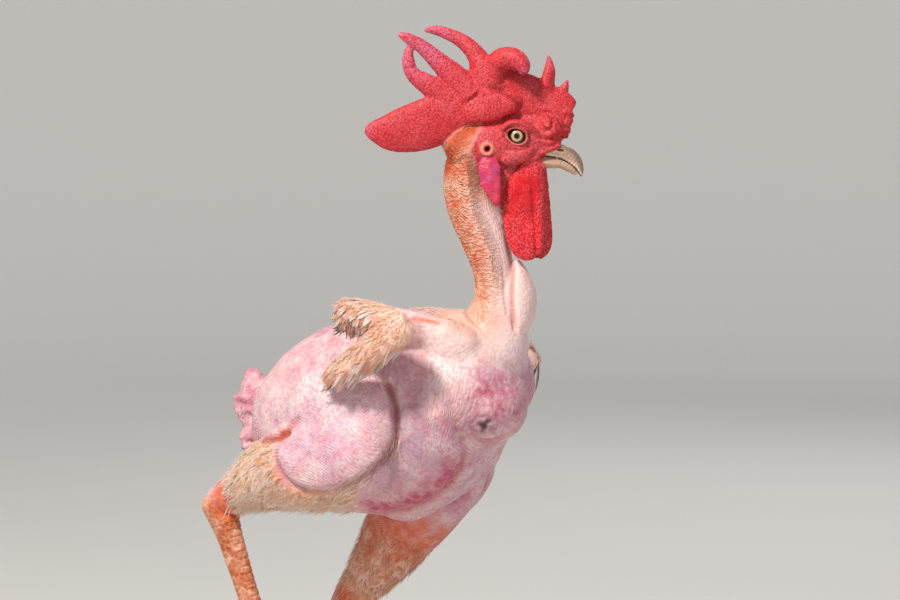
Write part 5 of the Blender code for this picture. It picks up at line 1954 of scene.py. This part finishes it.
def fringePiece():  # long pale hairs along the thigh's lower edge, on both legs
    near = np.full(len(points), 1e9)
    edgeWays = np.zeros((len(points), 3))
    line = smoothRows([onSkin(u, v) for u, v in fringe["photo"]], 8)
    for a, b in zip(line[:-1], line[1:]):
        for out in (-1, 1):
            flip = np.array((1, -out, 1))
            off = np.linalg.norm(points - a * flip, axis=1)
            closer = off < near
            near = np.where(closer, off, near)
            edgeWays[closer] = (b - a) * flip
    chosen, roots = pickRoots(bump(near, 4.5) * (near < 9), fringe["count"])
    count = len(chosen)
    way = unit(edgeWays[chosen]) + np.array((0, 0, -0.35))
    ways = lieAlong(way, normals[chosen], 0.15 + 0.3 * rng.random(count), 0.22)
    lengths = rng.uniform(*fringe["length"], count)
    widths = fringe["width"] * rng.uniform(0.6, 1.2, count)
    return tuftPiece("thigh_fringe", chosen, roots, ways, lengths, widths, 0.1, fringe["turn"], downStyle)


napeHair = {
    "count": 260, "length": (1.5, 3.2), "width": 0.15,
    "tones": {"Root": "c04a1c", "Tip": "f0a468", "Other": "8a3014", "Warm": "b4481c"},
}


def napePiece():  # short stubble on the nape, lying down the neck
    f, _, h = inHead(points).T
    weight = bump((h - 101) / 13, 1) * bump((f + 2) / 12, 1) * (1 - masks["redSkin"])
    weight[weight < 0.03] = 0
    chosen, roots = pickRoots(weight, napeHair["count"])
    count = len(chosen)
    way = np.tile(np.array((-0.25, 0, -1.0)), (count, 1))
    ways = lieAlong(way, normals[chosen], 0.15 + 0.2 * rng.random(count), 0.15)
    lengths = rng.uniform(*napeHair["length"], count)
    widths = np.full(count, napeHair["width"])
    line = (headPoint(10, 0, 0), headPoint(10, 0, 100))
    return tuftPiece("nape_stubble", chosen, roots, ways, lengths, widths, 0.1, line, downStyle)


wingCoat = {  # each place is an outline on the photo
    "fluff": {"right": 3200, "left": 2400}, "fluffLength": (4.0, 9.5), "fluffWidth": 0.3,
    "vanes": {"right": 170, "left": 260}, "vaneLength": (9.0, 17.0), "vaneWidth": (0.6, 1.2),
    "shadeAndRust": 90, "hollowLength": (7, 14), "hollowWidth": (0.5, 0.9),
    "quills": 34, "quillLength": (7, 12), "quillWidth": 0.5,
    "hollowPlace": [(338, 322), (352, 316), (376, 316), (384, 328), (366, 340), (340, 344)],
    "palePlace": [(344, 300), (358, 297), (372, 302), (372, 326), (360, 334), (346, 330)],
    "barePlace": [(396, 308), (414, 310), (418, 326), (402, 330), (394, 322)],
    "rightTones": {"Root": "e88c64", "Tip": "fff0e2", "Other": "f8bc94", "Warm": "d8602c"},
    # the far wing's fluff and vanes are much darker than the near wing's: painted shade, for it hangs in
    # shadow behind the body; the far vanes' tones also serve the dark tufts in the near wing's hollow
    "leftTones": {"Root": "a8482c", "Tip": "eeb48c", "Other": "cc7048", "Warm": "a03c1c"},
    "rightVanes": {"Root": "dc8c74", "Tip": "fff4f2", "Other": "f4c8b8", "Warm": "d8602c"},
    "leftVanes": {"Root": "7c2c1c", "Tip": "d88c68", "Other": "9c4028", "Warm": "8a3018"},
    "quillTones": {"Root": "6a4a40", "Tip": "2c211f", "Other": "a08478", "Warm": "5a3a30"},
}


def wingWays(at, side):  # the lie of the wing's feathers: back and down from the arm, out along the hand
    _, _, wrist, tip = wingJoints(side)
    line = np.array(tip - wrist)
    fore = np.array((-0.85, 0.0, -0.35))
    hand = unit(line) + np.array((-0.25, 0.0, -0.35))
    share = (at - np.array(wrist)) @ line / (line @ line)
    above = at[:, 2] - (wrist.z - 2 + share * (tip.z - wrist.z))
    onHand = ease(share, 0.0, 0.3) * (1 - ease(above, 4, 12))
    return fore * (1 - onHand)[:, None] + hand * onHand[:, None]


def wingPieces(side):
    _, elbow, wrist, tip = wingJoints(side)
    right, out = side == "right", sides[side]
    made = []

    def addTufts(kind, finish, chosen, roots, ways, lengths, widths, bend, style, outward=None):
        name = f"wing_{kind}_{side}"
        piece = tuftPiece(name, chosen, roots, ways, lengths, widths, bend, (wrist, tip), style, outward)
        made.append((piece, finish))

    onWing = zone["wing"] * (points[:, 1] * out > 0)
    onWing = onWing * ease(points[:, 1] * out, 60, 68)
    outer = ease(normals[:, 1] * out, -0.5, 0.3)
    bare = 1 - 0.75 * bump(farFrom(points, tip), 14)
    bare *= 1 - 0.3 * bump(farFrom(points, wrist), 15)
    patch = np.clip(0.7 + 1.1 * noiseField(points, 8, 53), 0.08, 1)
    weight = onWing * (0.15 + 0.85 * outer) * bare * patch
    paler = np.zeros(len(points))
    if right:
        weight = weight * (1 - 0.3 * insideOutline(seen, wingCoat["barePlace"], 4))
        paler = insideOutline(seen, wingCoat["palePlace"], 4) * ease(facing, 0, 0.3)
    weight[weight < 0.05] = 0
    chosen, roots = pickRoots(weight, wingCoat["fluff"][side])
    lift = 0.15 + 0.35 * rng.random(len(chosen))
    nearWrist = bump(farFrom(roots, wrist), 16)
    lengths = rng.uniform(*wingCoat["fluffLength"], len(chosen)) * (1 - 0.5 * nearWrist)
    widths = wingCoat["fluffWidth"] * rng.uniform(0.6, 1.3, len(chosen))
    way = wingWays(roots, side) + noiseField(roots, 4, 57)[:, None] * np.array((0.7, 0, -1.3))
    ways = lieAlong(way, normals[chosen], lift, 0.16)
    addTufts("fluff", side + "Tones", chosen, roots, ways, lengths, widths, 0.25, downStyle)

    lower = weight * ease(-normals[:, 2] - 0.4 * normals[:, 0], -0.1, 0.5) + 1.6 * paler
    if not right:
        lower = lower * (0.2 + bump(farFrom(points, wrist), 30))
    chosen, roots = pickRoots(lower, wingCoat["vanes"][side])
    lift = 0.2 + 0.25 * rng.random(len(chosen))
    grown = 1 - 0.45 * paler[chosen] if right else 1.3
    lengths = rng.uniform(*wingCoat["vaneLength"], len(chosen)) * grown
    widths = rng.uniform(*wingCoat["vaneWidth"], len(chosen))
    way = wingWays(roots, side) + np.array((0, 0, -0.4 if right else -1.6))
    ways = lieAlong(way, normals[chosen], lift, 0.16)
    outward = unit(normals[chosen] * 0.3 + np.array((0.1, out, 0.2)))
    addTufts("vanes", side + "Vanes", chosen, roots, ways, lengths, widths, 0.2, vaneStyle, outward)

    # painted shade: dark tufts in the far vanes' tones fill the shaded hollow between the near wing's forearm
    # and hand, and lie under the far wing
    under = onWing * ease(-normals[:, 2], -0.2, 0.4)
    place = insideOutline(seen, wingCoat["hollowPlace"], 5) if right else points[:, 0] < wrist.x - 24
    chosen, roots = pickRoots(under * place, wingCoat["shadeAndRust"])
    way = np.tile(np.array((-0.35, 0.1 * out, -1.0)), (len(chosen), 1))
    ways = lieAlong(way, normals[chosen], rng.uniform(0.3, 0.7, len(chosen)), 0.12)
    lengths = rng.uniform(*wingCoat["hollowLength"], len(chosen))
    widths = rng.uniform(*wingCoat["hollowWidth"], len(chosen))
    addTufts("shadeAndRust", "leftVanes", chosen, roots, ways, lengths, widths, 0.1, vaneStyle)

    ends = onWing * (bump(farFrom(points, tip), 12) + 0.9 * bump(farFrom(points, elbow), 10))
    chosen, roots = pickRoots(ends, wingCoat["quills"])
    lift = 0.2 + 0.2 * rng.random(len(chosen))
    way = wingWays(roots, side) + np.array((0, 0, -0.7))
    ways = lieAlong(way, normals[chosen], lift, 0.25)
    lengths = rng.uniform(*wingCoat["quillLength"], len(chosen))
    widths = np.full(len(chosen), wingCoat["quillWidth"])
    addTufts("quills", "quillTones", chosen, roots, ways, lengths, widths, 0.1, downStyle)
    return made


scapular = {
    "photo": [(414, 305), (424, 309), (438, 315), (455, 321)],
    "count": 300, "length": (4.0, 7.5), "width": 0.26,
}


def scapularPiece():
    line = smoothRows([onSkin(u, v) for u, v in scapular["photo"]], 10)
    near = np.min([farFrom(points, mark) for mark in line], axis=0)
    chosen, roots = pickRoots(bump(near, 4.5) * (near <= 9), scapular["count"])
    count = len(chosen)
    way = np.tile(line[-1] - line[0], (count, 1))
    ways = lieAlong(way, normals[chosen], np.full(count, 0.3), 0.25)
    lengths = rng.uniform(*scapular["length"], count)
    widths = np.full(count, scapular["width"])
    ends = (line[0], line[-1])
    return tuftPiece("scapular_down", chosen, roots, ways, lengths, widths, 0.2, ends, downStyle)


def coatMaterial(name, tones, rough=0.6):
    made, tree, shader, place, t = newMaterial(name, tones)
    warm = t.pop("Warm")
    along, shade = maskNode(tree, "tuftAlong"), maskNode(tree, "tuftShade")
    cloud = mottle(tree, place, 45.0, 0.42, 0.6)
    colour = layered(tree, placeGroup(tree, "tuft", Along=along, Shade=shade, **t)["Color"], [
        (times(tree, maskNode(tree, "tuftWarm"), 0.7), warm),
        (times(tree, cloud, 0.3), t["Root"]),
    ])
    tree.links.new(colour, shader.inputs["Base Color"])
    tree.links.new(scaled(tree, shade, 0.15, rough), shader.inputs["Roughness"])
    setShader(shader, Sheen_Weight=0.35, Sheen_Roughness=0.4)
    return made


coatFinish = {
    "right": coatMaterial("down_near", down["tones"]["right"]),
    "left": coatMaterial("down_far", down["tones"]["left"]),
    "fringe": coatMaterial("thigh_fringe", fringe["tones"]),
    "nape": coatMaterial("nape_stubble", napeHair["tones"]),
    "quillTones": coatMaterial("wing_quills", wingCoat["quillTones"], 0.4),
}
# the far wing's materials are darker copies of the near wing's, a painted shade
for side in sides:
    coatFinish[side + "Tones"] = coatMaterial("wing_fluff_" + side, wingCoat[side + "Tones"])
    coatFinish[side + "Vanes"] = coatMaterial("wing_vanes_" + side, wingCoat[side + "Vanes"], 0.5)
coat = [(downPiece(side), side) for side in sides]
for side in sides:
    coat += wingPieces(side)
coat += [(scapularPiece(), "rightTones"), (fringePiece(), "fringe"), (napePiece(), "nape")]
for piece, finish in coat:
    piece.data.materials.append(coatFinish[finish])
    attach(piece, "root")
print("Feathers and down set,", sum(len(piece.data.polygons) for piece, _ in coat), "triangles")


# floor, light and camera

studio = {
    "floor": {
        "flat": 3.2, "bend": 0.8, "wall": 1.7, "around": 96, "glow": 0.3,
        "tones": {"pale": "cbc9c6", "cloud": "cfccc6", "unlit": "000000"},
    },
    "key": {"place": (-0.12, -1.5, 2.0), "size": 0.3, "power": 66.0, "tone": "fffaf2"},
    "fill": {"place": (1.6, -1.1, 1.1), "size": 1.4, "power": 6.0, "tone": "eef3ff"},
    "rim": {"place": (-0.2, 1.5, 1.2), "size": 1.2, "power": 8.0, "tone": "ffffff"},
    "aim": (0, 0, 0.28),
    "world": ("e6e9ee", 0.32),
}


def makeFloor():  # a level disc that curves up into a low wall all round, wider than any camera's place
    shape = studio["floor"]
    flat, bend, around = shape["flat"], shape["bend"], shape["around"]
    profile = [(flat * share, 0.0) for share in (0.1, 0.25, 0.4, 0.55, 0.7, 0.85, 1.0)]
    profile += [(flat + bend * math.sin(a), bend * (1 - math.cos(a)))
                for a in [math.pi / 2 * k / 12 for k in range(1, 13)]]
    profile.append((flat + bend, shape["wall"]))
    verts, faces = [(0, 0, 0)], []
    for reach, rise in profile:
        turns = [2 * math.pi * k / around for k in range(around)]
        verts += [(reach * math.cos(turn), reach * math.sin(turn), rise) for turn in turns]
    for k in range(around):
        j = (k + 1) % around
        faces.append((0, 1 + k, 1 + j))
        for step in range(len(profile) - 1):
            a, b = 1 + step * around, 1 + (step + 1) * around
            faces.append((a + k, b + k, b + j, a + j))
    mesh = bpy.data.meshes.new("studio_floor")
    mesh.from_pydata(verts, [], faces)
    mesh.shade_smooth()
    writeMask(mesh, "farOff", ease(np.hypot(*np.array(verts)[:, :2].T), 0.8, flat))
    obj = bpy.data.objects.new("studio_floor", mesh)
    bpy.context.scene.collection.objects.link(obj)
    made, tree, shader, place, t = newMaterial("studio_floor", shape["tones"])
    colour = mixNode(tree, times(tree, mottle(tree, place, 3.0, 0.3, 0.7), 0.15), t["pale"], t["cloud"])
    tree.links.new(colour, shader.inputs["Base Color"])
    glow = mixNode(tree, maskNode(tree, "farOff"), t["unlit"], t["pale"])
    tree.links.new(glow, shader.inputs["Emission Color"])
    setShader(shader, Roughness=0.85, Emission_Strength=shape["glow"])
    mesh.materials.append(made)


def makeLight(name):
    shape = studio[name]
    lamp = bpy.data.lights.new(name + "_light", "AREA")
    lamp.size = shape["size"]
    lamp.energy = shape["power"]
    lamp.color = tone(shape["tone"])[:3]
    obj = bpy.data.objects.new(name + "_light", lamp)
    obj.location = shape["place"]
    toAim = Vector(studio["aim"]) - Vector(shape["place"])
    obj.rotation_euler = toAim.to_track_quat("-Z", "Y").to_euler()
    bpy.context.scene.collection.objects.link(obj)


def makeWorld():
    world = bpy.data.worlds.new("studio")
    world.use_nodes = True
    sky = world.node_tree.nodes["Background"]
    sky.inputs["Color"].default_value = tone(studio["world"][0])
    sky.inputs["Strength"].default_value = studio["world"][1]
    bpy.context.scene.world = world


def makeCamera():
    _, _, back = viewAxes()
    camera = bpy.data.cameras.new("photo_camera")
    camera.sensor_width = 36.0
    camera.lens = camera.sensor_width * photoView["distance"] / photoView["width"]
    camera.clip_start = 0.05
    obj = bpy.data.objects.new("photo_camera", camera)
    obj.location = (photoView["target"] + back * photoView["distance"] + shift) * mm
    obj.rotation_euler = (-back).to_track_quat("-Z", "Y").to_euler()
    bpy.context.scene.collection.objects.link(obj)
    bpy.context.scene.camera = obj


makeFloor()
for name in ("key", "fill", "rim"):
    makeLight(name)
makeWorld()
makeCamera()
bpy.context.scene.view_settings.view_transform = "Standard"
print("Studio set")
